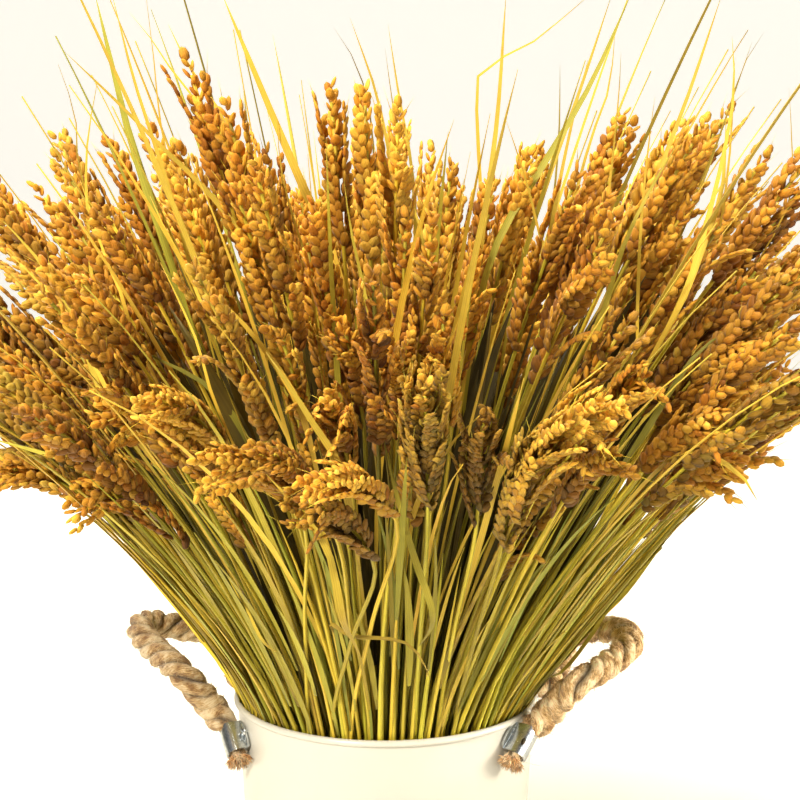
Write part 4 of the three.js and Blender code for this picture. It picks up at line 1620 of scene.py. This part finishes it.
    def grow_ear(self, shoot: Shoot) -> None:
        """Grows a culm with its ear.

        Args:
            shoot: The shoot.
        """
        heap = self.heaps[shoot.tiller]
        if shoot.index in self.guided:
            line, seen = self.guided[shoot.index]
            self.culm.grow(heap, line, line.length - self.tip_gap, 18, self.straw_hue())
            style = self.fine_ear if seen.tip_depth < self.fine_depth else self.ear
            Ear(style, heap, line, self.rng, seen.hue, seen.girth).grow(1.0)
            return
        line = self.free_line(shoot)
        self.culm.grow(heap, line, line.length - self.tip_gap, 9, self.straw_hue())
        fullness = 1.0 if shoot.share > 0.8 else float(np.interp(shoot.share, [0.1, 0.8], [0.5, 0.75]))
        Ear(self.ear, heap, line, self.rng, self.ear_hue(shoot)).grow(fullness)

    def lay_blade(
        self,
        line: CulmLine,
        distances: Array,
        half_width: float,
        hue: Tone,
        out: Array | float = 0.0,
        side: Array | float = 0.0,
        turn: float = 0.0,
    ) -> None:
        """Lays a blade along part of a culm's line.

        Args:
            line: The culm's line.
            distances: Where the blade's stations lie, in millimetres from the culm's foot.
            half_width: Half its width at its widest.
            hue: Its tone.
            out: How far each station stands out from the line, as a column.
            side: How far each station stands sideways of it, as a column.
            turn: How far the blade is turned about the line, in radians.
        """
        path, _, sideways, outwards = line.at(distances)
        facing = sideways * math.cos(turn) + outwards * math.sin(turn)
        widths = blade_widths(np.linspace(0, 1, len(distances)), half_width)
        path = path + outwards * out + sideways * side
        self.blade.add(self.heaps[line.shoot.tiller], path, facing, hue, widths)

    def grow_leafy_shoot(self, shoot: Shoot) -> None:
        """Grows a leafy shoot: a culm whose sheath opens into a long blade.

        Args:
            shoot: The shoot.
        """
        line = CulmLine(shoot)
        self.culm.grow(self.heaps[shoot.tiller], line, line.length * 0.56, 6, self.straw_hue(), 1.3)
        distances = np.linspace(0.5, dict(self.cut_leaves).get(shoot.index, 1.0), 14) * line.length
        hue = (float(self.rng.uniform(0.3, 0.8)), float(self.rng.uniform(0.0, 0.7)), 1.0)
        self.lay_blade(line, distances, self.blade.half_width, hue, 1.2 * (1 - column(14)))

    def fill_rim(self) -> None:
        """Fills the pail's mouth with plain culms that end among the ears."""
        for row, rim, count in self.fillers:
            for place in range(count):
                index = DrawBase.RIM_CULMS.value + int(row * 100) + place
                azimuth = (place + 0.9 * (draw(index, 0) - 0.5)) * TURN / count
                radius = rim + 1.2 * (draw(index, 1) - 0.5)
                shoot = self.planting.free_shoot(index, row, azimuth, 0.92, radius)
                right = max(0.0, math.cos(azimuth)) ** 2
                arching = 1.15 - 0.17 * right + (0.25 + 0.12 * right) * draw(index, 3)
                line = CulmLine(shoot, sway=0.26 * (draw(index, 2) - 0.5), arching=arching)
                end = line.rim_length + (0.53 + 0.25 * draw(index, 4)) * (line.length - line.rim_length)
                # Painted shade: culms of the inner rows are darker
                shade = float(np.interp(row, [4.4, 6.2, 6.7], [0.25, 0.5, 1.0]))
                heap, thickness = self.heaps[shoot.tiller], 0.9 + 0.5 * draw(index, 5)
                self.culm.grow(heap, line, end, 6, self.straw_hue(shade), thickness)

    def add_sheath_blades(self) -> None:
        """Adds the short leaves that lie along the culms between the rim and the ears."""
        for number in range(self.sheath_blades):
            index, azimuth = DrawBase.SHEATH_BLADES.value + number, number * GOLDEN_ANGLE
            shoot = self.planting.free_shoot(index, 6.75 + 0.3 * draw(index, 1), azimuth % TURN, 0.92, 65.8)
            right = max(0.0, math.cos(azimuth)) ** 2
            line = CulmLine(shoot, sway=0.34 * (draw(index, 2) - 0.5), arching=1.25 - 0.2 * right)
            start = line.rim_length - 8 + 60 * draw(index, 3)
            distances = np.linspace(start, start + (60 + 70 * draw(index, 4)), 10)
            out = 1.6 + 1.5 * draw(index, 5) + 5 * draw(index, 6) * column(10) ** 3
            side = 10 * (draw(index, 7) - 0.5) * column(10) ** 2
            tint, green, light = self.straw_hue()
            hue = (tint, min(0.9, green + 0.15), light)
            self.lay_blade(line, distances, 0.8 + 1.3 * draw(index, 8) ** 2, hue, out, side)

    def add_thin_blades(self) -> None:
        """Adds narrow blades that rise out of the crown."""
        for number in range(self.thin_blades):
            index = DrawBase.THIN_BLADES.value + number
            row = 7.1 * math.sqrt((number + 3) / (self.thin_blades + 3))
            azimuth = (number * GOLDEN_ANGLE) % TURN
            shoot = self.planting.free_shoot(index, row, azimuth, 0.82 + 0.26 * draw(index, 0))
            line = CulmLine(shoot, sway=0.4 * (draw(index, 1) - 0.5))
            distances = np.linspace(line.length * 0.5, line.length, 9)
            side = 24 * (draw(index, 2) - 0.5) * column(9) ** 2
            hue = (0.45 + 0.5 * draw(index, 4), 0.55 * draw(index, 5) ** 2, 1.15)
            self.lay_blade(line, distances, 0.7 + 1.0 * draw(index, 3), hue, 7 * column(9), side)

    def add_inner_blades(self) -> None:
        """Adds the broad blades between the inner culms, made dark with a painted shade."""
        for number in range(self.inner_blades):
            index = DrawBase.INNER_BLADES.value + number
            row = 0.8 + 4.9 * math.sqrt((number + 0.5) / self.inner_blades)
            shoot = self.planting.free_shoot(index, row, (number * GOLDEN_ANGLE) % TURN, 0.9)
            line = CulmLine(shoot, sway=0.3 * (draw(index, 1) - 0.5))
            start = line.rim_length + (number % 3) * 34
            distances = np.linspace(start, start + 105 + 50 * draw(index, 2), 7)
            # Painted shade: a low tint and a light share of 0.1 to 0.27 make these blades dark brown
            hue = (0.05 + 0.25 * draw(index, 5), 0.14 * draw(index, 6), 0.1 + 0.17 * draw(index, 7))
            self.lay_blade(line, distances, 3.0 + 1.6 * draw(index, 4), hue, turn=math.pi * draw(index, 3))

    def add_seen_blades(self, sight: Sight) -> None:
        """Adds the blades that show plainly in the photograph, each rooted among the culms at the rim.

        Args:
            sight: What turns a pixel and a depth to a place.
        """
        radius, height = self.seen_root
        for blade in SEEN_BLADES.values():
            seen = np.array([sight.place(x, y, blade.depth) for x, y in blade.stops])
            azimuth = math.atan2(blade.depth - 6.0, seen[0, 0])
            root = np.array([radius * math.cos(azimuth), radius * math.sin(azimuth), height])
            knee = root * 0.5 + seen[0] * 0.5 + [0.0, 16.0, 6.0]
            stops = np.vstack([root, knee, seen])
            path = smooth_line(stops, 26)
            run = run_along(stops)
            hidden = run[2] / run[-1]
            shares, fullness = [0, hidden * 0.7, hidden, 0.75, 0.93, 1.0], [0.3, 0.35, 0.85, 1.0, 0.5, 0.05]
            widths = blade.half_width * np.interp(np.linspace(0, 1, len(path)), shares, fullness)
            across = np.tile([0.93, -0.1, 0.35], (len(path), 1))
            heap = self.heaps[self.planting.nearest_tiller(6.9, azimuth % TURN)]
            self.blade.add(heap, path, across, (blade.tint, blade.green, blade.light), widths)

    def build(self, sight: Sight) -> None:
        """Builds every rice piece and has each stand for its CAD tiller.

        Args:
            sight: What turns a pixel and a depth to a place.
        """
        shoots = self.planting.shoots()
        self.guide_ears(shoots, sight)
        for shoot in shoots + self.planting.ears_between():
            if shoot.is_leaf:
                self.grow_leafy_shoot(shoot)
            else:
                self.grow_ear(shoot)
        self.fill_rim()
        self.add_sheath_blades()
        self.add_thin_blades()
        self.add_inner_blades()
        self.add_seen_blades(sight)
        materials = [skin.material() for skin in (RICE_STRAW, RICE_BLADE, RICE_HUSK)]
        for number, heap in enumerate(self.heaps, 1):
            piece = heap.to_object(f"rice_plant_{number:02d}", materials)
            finish_piece(piece, f"rice_tiller_{number:02d}")


# Pail


@dataclass
class Pail:
    """The enamelled pail: a spun profile with a flat floor, a tapered wall and a rolled bead."""

    spin_steps: int = 144
    axis_gap: float = 0.05
    floor_thickness: float = 0.9
    bead_steps: int = 9

    def profile(self) -> list[Point]:
        """Gives the radius and height of the sheet's points, from the floor's middle underneath and back.

        Returns:
            The points.
        """
        bead = PAIL_HEIGHT - RIM_BEAD_RADIUS
        foot, floor, middle = WALL_FOOT_RADIUS, self.floor_thickness, self.axis_gap
        points = [(middle, 0.0), (foot - 2.2, 0.0), (foot - 0.9, 0.25), (foot - 0.2, 0.9)]
        points += [(wall_radius(h), h) for h in (2.0, 12, 60, 120, PAIL_HEIGHT - 3.4)]
        for step in range(self.bead_steps):
            angle = math.radians(-70 + step * 25)
            radius = wall_radius(bead) + RIM_BEAD_RADIUS * (0.2 + math.cos(angle))
            points.append((radius, bead + RIM_BEAD_RADIUS * math.sin(angle)))
        points += [(wall_radius(h) - WALL_THICKNESS, h) for h in (PAIL_HEIGHT - 3.6, 120, 60, 3.0)]
        return points + [(foot - 2.4, floor + 0.2), (foot - 4.0, floor), (middle, floor)]

    def build(self, material: Material) -> None:
        """Spins the profile and finishes the pail.

        Args:
            material: The piece's finish.
        """
        pail = spin_profile("enamel_pail", self.profile(), self.spin_steps, 0.00002)
        bpy.ops.object.shade_smooth_by_angle(angle=math.radians(50))
        pail.data.materials.append(material)
        finish_piece(pail, "pail")


# Handles


@dataclass(frozen=True)
class ClipSeat:
    """Where a clip sits on the wall: its angle round the pail, its lean, and its height above the usual."""

    azimuth: float
    lean: float
    rise: float

    def place(self, x: float, y: float, z: float) -> Array:
        """Gives where a point of a clip's flat pattern goes.

        Args:
            x: Millimetres across the rope.
            y: Millimetres along the rope.
            z: Millimetres out from the wall.

        Returns:
            The place.
        """
        along = x * math.cos(self.lean) - y * math.sin(self.lean)
        height = CLIP_HEIGHT + self.rise
        level = height + (x * math.sin(self.lean) + y * math.cos(self.lean))
        angle = self.azimuth + along / wall_radius(height)
        radius = wall_radius(level) + z
        return np.array([radius * math.cos(angle), radius * math.sin(angle), level])

    def wrap(self, piece: Object, pattern: Callable[[Vector], Point3]) -> None:
        """Moves each vertex of a piece to its place on the wall.

        Args:
            piece: The piece.
            pattern: What gives a vertex's place in the clip's flat pattern.
        """
        for vertex in piece.data.vertices:
            vertex.co = Vector(self.place(*pattern(vertex.co)) * MM)


@dataclass
class RopeHandle:
    """One handle: three jute strands laid left-handed, held by a clip at each end."""

    name: str
    azimuth: float
    stretch: float
    rear_side: int
    rear_rise: float
    clip_rise: float
    # A painted light share over the whole handle: above 1 brightens the right handle, which lies in shade,
    # below 1 dims the lit left one
    painted_light: float
    seed: int
    lay: Lay = Lay.S
    pitch: float = 26.0
    steps: int = 150
    sides: int = 12
    # How many short hairs stand on the skin, long fibres stand off it and fibres fray at each cut end
    fuzz: int = 6000
    loose_fibres: int = 90
    frayed_fibres: int = 620
    fuzz_radius: float = 0.15
    fibre_radius: float = 0.09
    frayed_radius: float = 0.36
    # A place on a strand's outermost line, where the painted shade of the lay is least
    fuzz_uv: Point = (0.75, 0.5)
    # The rope at a clip: how far up from the clip's ends or middle, how far out, and its radius
    leg: tuple[Point3, ...] = (
        (-CLIP_LENGTH / 2 - 3.6, 0.6, 4.4),
        (-CLIP_LENGTH / 2 - 0.6, 0.1, 3.5),
        (-CLIP_LENGTH / 2 + 2, 0.0, 3.3),
        (0.0, 0.0, 3.3),
        (CLIP_LENGTH / 2 - 1.5, 0.1, 3.6),
        (CLIP_LENGTH / 2 + 2.4, 2.4, 6.0),
        (CLIP_LENGTH / 2 + 8.0, 5.4, 6.7),
    )
    # The rope's arch: out from the pail's middle, across from the handle's own middle, and above the rim
    arch: tuple[Point3, ...] = ((86, 31, 14), (100, 20, 21), (108.5, 10, 25.5), (111.5, 0, 27))

    def seat(self, side: int) -> ClipSeat:
        """Gives where the clip sits on one side of the handle."""
        return ClipSeat(self.azimuth + side * CLIP_OFFSET, side * CLIP_LEAN, self.clip_rise)

    def route(self) -> Array:
        """Gives the rope's stops: place and radius, from one cut end to the other.

        Returns:
            The stops, one row each.
        """
        top, widest = self.arch[-1][2], self.arch[0][1]
        stops = []
        for side in (-1, 1):
            half = [np.append(self.seat(side).place(0, y, ROPE_STANDOFF + out), r) for y, out, r in self.leg]
            for out, across, above in self.arch:
                reach = out + self.stretch * above / top
                rear_rise = self.rear_rise if side == self.rear_side else 0.0
                rise = rear_rise * math.sin(across / widest * math.pi / 2)
                x = reach * math.cos(self.azimuth) - side * across * math.sin(self.azimuth)
                y = reach * math.sin(self.azimuth) + side * across * math.cos(self.azimuth)
                half.append(np.array([x, y, PAIL_HEIGHT + above + rise, ROPE_RADIUS - 0.6]))
            stops.append(half)
        return np.array(stops[0] + stops[1][:-1][::-1])

    def build(self, material: Material) -> None:
        """Lays the strands, adds loose fibres and finishes the handle.

        Args:
            material: The piece's finish.
        """
        rng = np.random.default_rng(self.seed)
        line = smooth_line(self.route(), self.steps)
        centres, radii = line[:, :3], line[:, 3]
        tangent = unit(np.gradient(centres, axis=0))
        across = carry_frame(tangent, unit(np.array([math.cos(self.azimuth), math.sin(self.azimuth), 0.4])))
        beside = np.cross(tangent, across)
        run = run_along(centres)
        LOG.info("%s: centre line %.0f mm", self.name, run[-1])
        knots = np.arange(0, run[-1] + 12, 12)
        wobble = np.interp(run, knots, rng.normal(0, 0.35, len(knots)))
        heap = MeshHeap()
        skin_points, skin_normals = [], []
        for strand in range(3):
            phase = self.lay.value * (run / self.pitch * TURN + wobble) + strand * TURN / 3
            off = (radii * 0.545)[:, None]
            middle = centres + off * (np.cos(phase)[:, None] * across + np.sin(phase)[:, None] * beside)
            along = unit(np.gradient(middle, axis=0))
            side = unit(np.cross(along, unit(middle - centres)))
            outward = np.cross(side, along)
            ripple = np.convolve(rng.normal(1, 0.06, self.steps + 4), np.ones(5) / 5, "valid")
            rough = rng.normal(1, 0.045, (self.steps, self.sides, 1))
            section = round_section(radii * 0.5 * ripple, self.sides) * rough
            heap.add_sweep(middle, side, outward, section, (self.painted_light, 0.0, 1.0))
            for turn in (-0.9, -0.3, 0.3, 0.9):
                skin_normals.append(outward * math.cos(turn) + side * math.sin(turn))
                skin_points.append(middle + skin_normals[-1] * (radii * 0.47)[:, None])
        tangents = np.vstack([tangent] * len(skin_points))
        self.add_fuzz(heap, rng, np.vstack(skin_points), np.vstack(skin_normals), tangents)
        self.fray(heap, rng, centres[0], -tangent[0])
        self.fray(heap, rng, centres[-1], tangent[-1])
        piece = heap.to_object(f"jute_handle_{self.name}", [material])
        finish_piece(piece, f"rope_handle_{self.name}")

    def add_fuzz(self, heap: MeshHeap, rng: Random, places: Array, normals: Array, tangents: Array) -> None:
        """Adds the short fuzz and the few long fibres that stand off the rope.

        Args:
            heap: Where the faces go.
            rng: The seeded source of small differences.
            places: Points on the rope's skin.
            normals: The skin's directions there.
            tangents: The rope's directions there.
        """
        count = self.fuzz
        spots = rng.integers(0, len(places), count)
        sweep = rng.choice([-1.0, 1.0], (count, 1)) * tangents[spots] + rng.normal(0, 0.55, (count, 3))
        lift = normals[spots] * rng.uniform(0.25, 1.0, (count, 1))
        reach = rng.uniform(1.1, 3.4, (count, 1))
        tones = np.zeros((count, 3))
        tones[:, 0] = rng.uniform(0.8, 1.25, count) * self.painted_light
        roots = places[spots] - normals[spots] * 0.4 + rng.normal(0, 0.5, (count, 1)) * tangents[spots]
        heap.add_spikes(roots, roots + unit(sweep + lift) * reach, self.fuzz_radius, tones, self.fuzz_uv)
        share = column(5)
        for spot in rng.integers(0, len(places), self.loose_fibres):
            normal = normals[spot]
            swept = unit(rng.choice([-1.0, 1.0]) * tangents[spot] + rng.normal(0, 0.6, 3))
            curve = 0.5 * share * normal + share**1.7 * swept
            path = places[spot] - normal * 0.6 + rng.uniform(4, 10) * curve
            direction = unit(np.gradient(path, axis=0))
            side = unit(np.cross(direction, normal + 0.01))
            section = round_section(self.fibre_radius * (1.05 - share[:, 0]), 3)
            tone = (float(rng.uniform(1.0, 1.3)), 0.0, 1.0)
            heap.add_sweep(path, side, np.cross(side, direction), section, tone)

    def fray(self, heap: MeshHeap, rng: Random, end: Array, outward: Array) -> None:
        """Adds the ragged fibres of a cut end, none of which enters the pail's wall.

        Args:
            heap: Where the faces go.
            rng: The seeded source of small differences.
            end: The middle of the cut end.
            outward: The direction that the end points to.
        """
        count = self.frayed_fibres
        scatter = rng.normal(0, 1, (count, 3))
        flat = unit(scatter - (scatter @ outward)[:, None] * outward)
        roots = end + flat * (4.1 * np.sqrt(rng.random((count, 1)))) - outward * 1.4
        splay = flat * rng.uniform(0, 1.2, (count, 1)) + rng.normal(0, 0.35, (count, 3))
        tips = roots + unit(outward + splay) * rng.uniform(1.6, 4.8, (count, 1))
        for ends in (roots, tips):
            clear = wall_radius(ends[:, 2]) + 0.6
            ends[:, :2] *= np.maximum(1.0, clear / np.hypot(ends[:, 0], ends[:, 1]))[:, None]
        tones = np.stack([rng.uniform(0.5, 1.6, count), rng.uniform(0.0, 0.9, count), np.ones(count)], 1)
        heap.add_spikes(roots, tips, self.frayed_radius, tones, self.fuzz_uv)


@dataclass
class RopeClip:
    """A pressed strap over the rope with a rounded lobe each side, and its blind rivet."""

    number: int
    seat: ClipSeat
    # Half the width of the strap's arch, at the middle of its sheet
    arch_half: float = ROPE_RADIUS_IN_CLIP + 0.75 + CLIP_SHEET / 2
    # How far the flat sheet reaches past that, and how much of it is the lobe
    sheet_reach: float = 8.6
    lobe_reach: float = 3.0
    lobe_level: float = CLIP_GAP + 0.5
    # How much longer the arch's stretch of sheet is than its curved part
    flank: float = 1.32
    hole_turn: float = math.radians(52)
    rivet_across: float = ROPE_RADIUS_IN_CLIP + 3.55

    def folded(self, sheet: Vector) -> Point3:
        """Folds a point of the flat sheet, which is 1 across, over the rope.

        Args:
            sheet: The point, from -0.5 to 0.5 each way.

        Returns:
            Its place in the clip's flat pattern.
        """
        whole = self.arch_half + self.sheet_reach
        arc = whole - self.lobe_reach
        flat = abs(sheet.x * 2) * whole
        width = 1.0
        if flat < arc:
            bend = flat / arc * self.flank
            angle = min(bend, 1.0) * math.pi / 2
            drop = max(0.0, bend - 1.0) / (self.flank - 1.0)
            x = self.arch_half * math.sin(angle)
            z = (ROPE_STANDOFF + self.arch_half * math.cos(angle)) * (1 - drop) + self.lobe_level * drop
        else:
            x, z = self.arch_half + flat - arc, self.lobe_level
            width = math.sqrt(1 - min((flat - arc) / self.lobe_reach, 0.985) ** 2)
        return math.copysign(x, sheet.x), sheet.y * CLIP_LENGTH * width, z

    def bored(self, bar: Vector) -> Point3:
        """Gives where a point of a unit cylinder goes in the oval bar that cuts the strap's hole.

        Args:
            bar: The point.

        Returns:
            Its place in the clip's flat pattern.
        """
        slant, rise = math.sin(self.hole_turn), math.cos(self.hole_turn)
        x, y, z = bar.x * 1.9, bar.y * 3.6, bar.z * 3.2 + self.arch_half
        return x * rise - z * slant, y - 1.0, ROPE_STANDOFF + z * rise + x * slant

    def riveted(self, turned: Vector) -> Point3:
        """Gives where a point of the turned rivet goes in the clip's flat pattern."""
        return self.rivet_across + turned.x / MM, turned.y / MM, turned.z / MM

    def build(self, material: Material) -> None:
        """Presses the strap from a sheet, wraps it on the wall, cuts its hole and finishes it.

        Args:
            material: The piece's finish.
        """
        deselect_all()
        bpy.ops.mesh.primitive_grid_add(x_subdivisions=33, y_subdivisions=15, size=1)
        clip = name_new_object(f"zinc_clip_{self.number}")
        self.seat.wrap(clip, self.folded)
        face_outwards()
        bpy.ops.mesh.primitive_cylinder_add(vertices=20, radius=0.5, depth=1)
        cutter = bpy.context.object
        self.seat.wrap(cutter, self.bored)
        face_outwards()
        sheet = clip.modifiers.new("sheet", "SOLIDIFY")
        sheet.thickness, sheet.offset = CLIP_SHEET * MM, 0.0
        hole = clip.modifiers.new("hole", "BOOLEAN")
        hole.operation, hole.object, hole.solver = "DIFFERENCE", cutter, "EXACT"
        deselect_all()
        clip.select_set(True)
        bpy.context.view_layer.objects.active = clip
        for modifier in list(clip.modifiers):
            bpy.ops.object.modifier_apply(modifier=modifier.name)
        bpy.data.objects.remove(cutter)
        bpy.ops.object.shade_smooth_by_angle(angle=math.radians(40))
        clip.data.materials.append(material)
        finish_piece(clip, f"rope_clip_{self.number}")

    def build_rivet(self, material: Material) -> None:
        """Turns the blind rivet: a domed head with a sunk middle, and its shank through the wall.

        Args:
            material: The piece's finish.
        """
        seat = CLIP_GAP + CLIP_SHEET + 0.05
        low = -WALL_THICKNESS - 0.7
        shank = [(0.02, low - 0.9), (1.1, low - 0.8), (1.3, low - 0.4), (1.2, low), (0.8, low), (0.8, seat)]
        head = [(2.0, 0.0), (2.05, 0.25), (1.75, 0.7), (1.2, 0.95), (0.85, 0.85), (0.75, 0.1), (0.02, 0.05)]
        profile = shank + [(radius, seat + rise) for radius, rise in head]
        rivet = spin_profile(f"blind_rivet_{self.number}", profile, 20, 0.00001)
        self.seat.wrap(rivet, self.riveted)
        bpy.ops.object.shade_smooth_by_angle(angle=math.radians(35))
        rivet.data.materials.append(material)
        finish_piece(rivet, f"clip_rivet_{self.number}")


# Stage


@dataclass(frozen=True)
class Lamp:
    """A square soft lamp: its place, side and target in metres, its watts and its beam in radians."""

    name: str
    place: Point3
    size: float
    watts: float
    colour: str
    target: Point3 = (0.0, 0.0, 0.27)
    beam: float = math.pi

    def add(self) -> None:
        """Adds the lamp to the scene."""
        data = bpy.data.lights.new(self.name, "AREA")
        data.shape, data.size, data.energy, data.spread = "SQUARE", self.size, self.watts, self.beam
        data.color = linear(self.colour)[:3]
        lamp = bpy.data.objects.new(self.name, data)
        lamp.location = self.place
        lamp.rotation_euler = (Vector(self.target) - Vector(self.place)).to_track_quat("-Z", "Y").to_euler()
        bpy.context.scene.collection.objects.link(lamp)


@dataclass
class Studio:
    """The camera at the photograph's angle, a pale bowl-shaped floor and soft lamps, in metres."""

    sight: Sight = Sight()
    bowl_radius: float = 4.0
    # The share of that radius that is flat, and the steps that the edge curves up in
    flat_share: float = 0.72
    edge_steps: int = 8
    sky: str = "#FFFDF8"
    sky_light: float = 0.12
    lamps: tuple[Lamp, ...] = (
        Lamp("key_lamp", (-0.75, -1.35, 1.1), 0.3, 40.5, "#FFF5E6"),
        Lamp("fill_lamp", (1.3, -1.1, 0.8), 0.8, 7.0, "#FBF8F4"),
        Lamp("top_lamp", (-0.3, -0.25, 1.7), 0.5, 26.0, "#FFF4DE"),
        Lamp("back_lamp", (-0.5, 1.2, 1.7), 0.8, 40.0, "#FFF2D6"),
        Lamp("rope_lamp", (0.55, -0.05, 0.27), 0.25, 0.34, "#FFF3E0", (0.118, 0.0, 0.163), math.radians(34)),
    )

    def build(self, paper: Material) -> None:
        """Sets the camera, floor, lamps and world.

        Args:
            paper: The floor's finish.
        """
        data = bpy.data.cameras.new("camera")
        data.lens, data.sensor_width = self.sight.lens_mm, self.sight.sensor_mm
        camera = bpy.data.objects.new("camera", data)
        camera.location = Vector(self.sight.eye) * MM
        camera.rotation_euler = (math.pi / 2 - self.sight.pitch_down, 0, 0)
        bpy.context.scene.collection.objects.link(camera)
        bpy.context.scene.camera = camera
        bpy.context.scene.view_settings.view_transform = "Standard"
        self.add_floor(paper)
        for lamp in self.lamps:
            lamp.add()
        self.light_world()

    def light_world(self) -> None:
        """Makes a pale world that lights softly but looks white behind the floor's edge."""
        world = bpy.data.worlds.new("soft_sky")
        bpy.context.scene.world = world
        world.use_nodes = True
        sky = world.node_tree.nodes["Background"]
        sky.inputs["Color"].default_value = linear(self.sky)
        ray = add_node(world.node_tree, "LightPath", "Is Camera Ray", {})
        ends = {"To Min": self.sky_light, "To Max": 1.0}
        strength = add_node(world.node_tree, "MapRange", "Result", {"Value": ray, **ends})
        world.node_tree.links.new(strength, sky.inputs["Strength"])

    def add_floor(self, paper: Material) -> None:
        """Makes the floor as a wide dish whose edge curves up all round.

        Args:
            paper: The floor's finish.
        """
        flat, curved = self.flat_share, 1 - self.flat_share
        deselect_all()
        bpy.ops.mesh.primitive_circle_add(vertices=96, radius=self.bowl_radius * flat, fill_type="NGON")
        floor = name_new_object("pale_floor")
        bpy.ops.object.mode_set(mode="EDIT")
        bpy.ops.mesh.select_all(action="SELECT")
        for step in range(self.edge_steps):
            low, high = (math.pi / 2 * s / self.edge_steps for s in (step, step + 1))
            wide = (flat + curved * math.sin(high)) / (flat + curved * math.sin(low))
            rise = self.bowl_radius * curved * (math.cos(low) - math.cos(high))
            bpy.ops.mesh.extrude_region_move(TRANSFORM_OT_translate={"value": (0, 0, rise)})
            bpy.ops.transform.resize(value=(wide, wide, 1))
        bpy.ops.mesh.delete(type="ONLY_FACE")
        bpy.ops.mesh.select_all(action="DESELECT")
        bpy.ops.object.mode_set(mode="OBJECT")
        bpy.ops.object.shade_smooth()
        self.close_floor(floor)
        floor.data.materials.append(paper)
        floor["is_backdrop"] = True

    def close_floor(self, floor: Object) -> None:
        """Fills the dish's flat middle again, which the last extrusion carried up.

        Args:
            floor: The floor.
        """
        for vertex in floor.data.vertices:
            vertex.select = abs(vertex.co.z) < 1e-5
        bpy.ops.object.mode_set(mode="EDIT")
        bpy.ops.mesh.select_mode(type="VERT")
        bpy.ops.mesh.edge_face_add()
        bpy.ops.object.mode_set(mode="OBJECT")


def main() -> None:
    """Builds every piece in order."""
    logging.basicConfig(level=logging.INFO, format="%(message)s")
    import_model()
    studio = Studio()
    studio.build(PalePaper().material())
    jute, zinc = JuteYarn().material(), ZincPlate().material()
    handles = [
        RopeHandle("right", HANDLE_TURN, 1.5, 1, 7.0, 1.4, 1.12, 155),
        RopeHandle("left", HANDLE_TURN + math.pi, 6.0, -1, 0.0, -3.2, 0.8, 605),
    ]
    for place, handle in enumerate(handles):
        handle.build(jute)
        for number, side in enumerate((-1, 1), 2 * place + 1):
            clip = RopeClip(number, handle.seat(side))
            clip.build(zinc)
            clip.build_rivet(zinc)
    Pail().build(CreamEnamel().material())
    RiceBunch().build(studio.sight)
    added = sum(len(p.vertices) - 2 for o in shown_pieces() for p in o.data.polygons)
    LOG.info("all pieces: %d triangles", added)


if __name__ == "__main__":
    main()
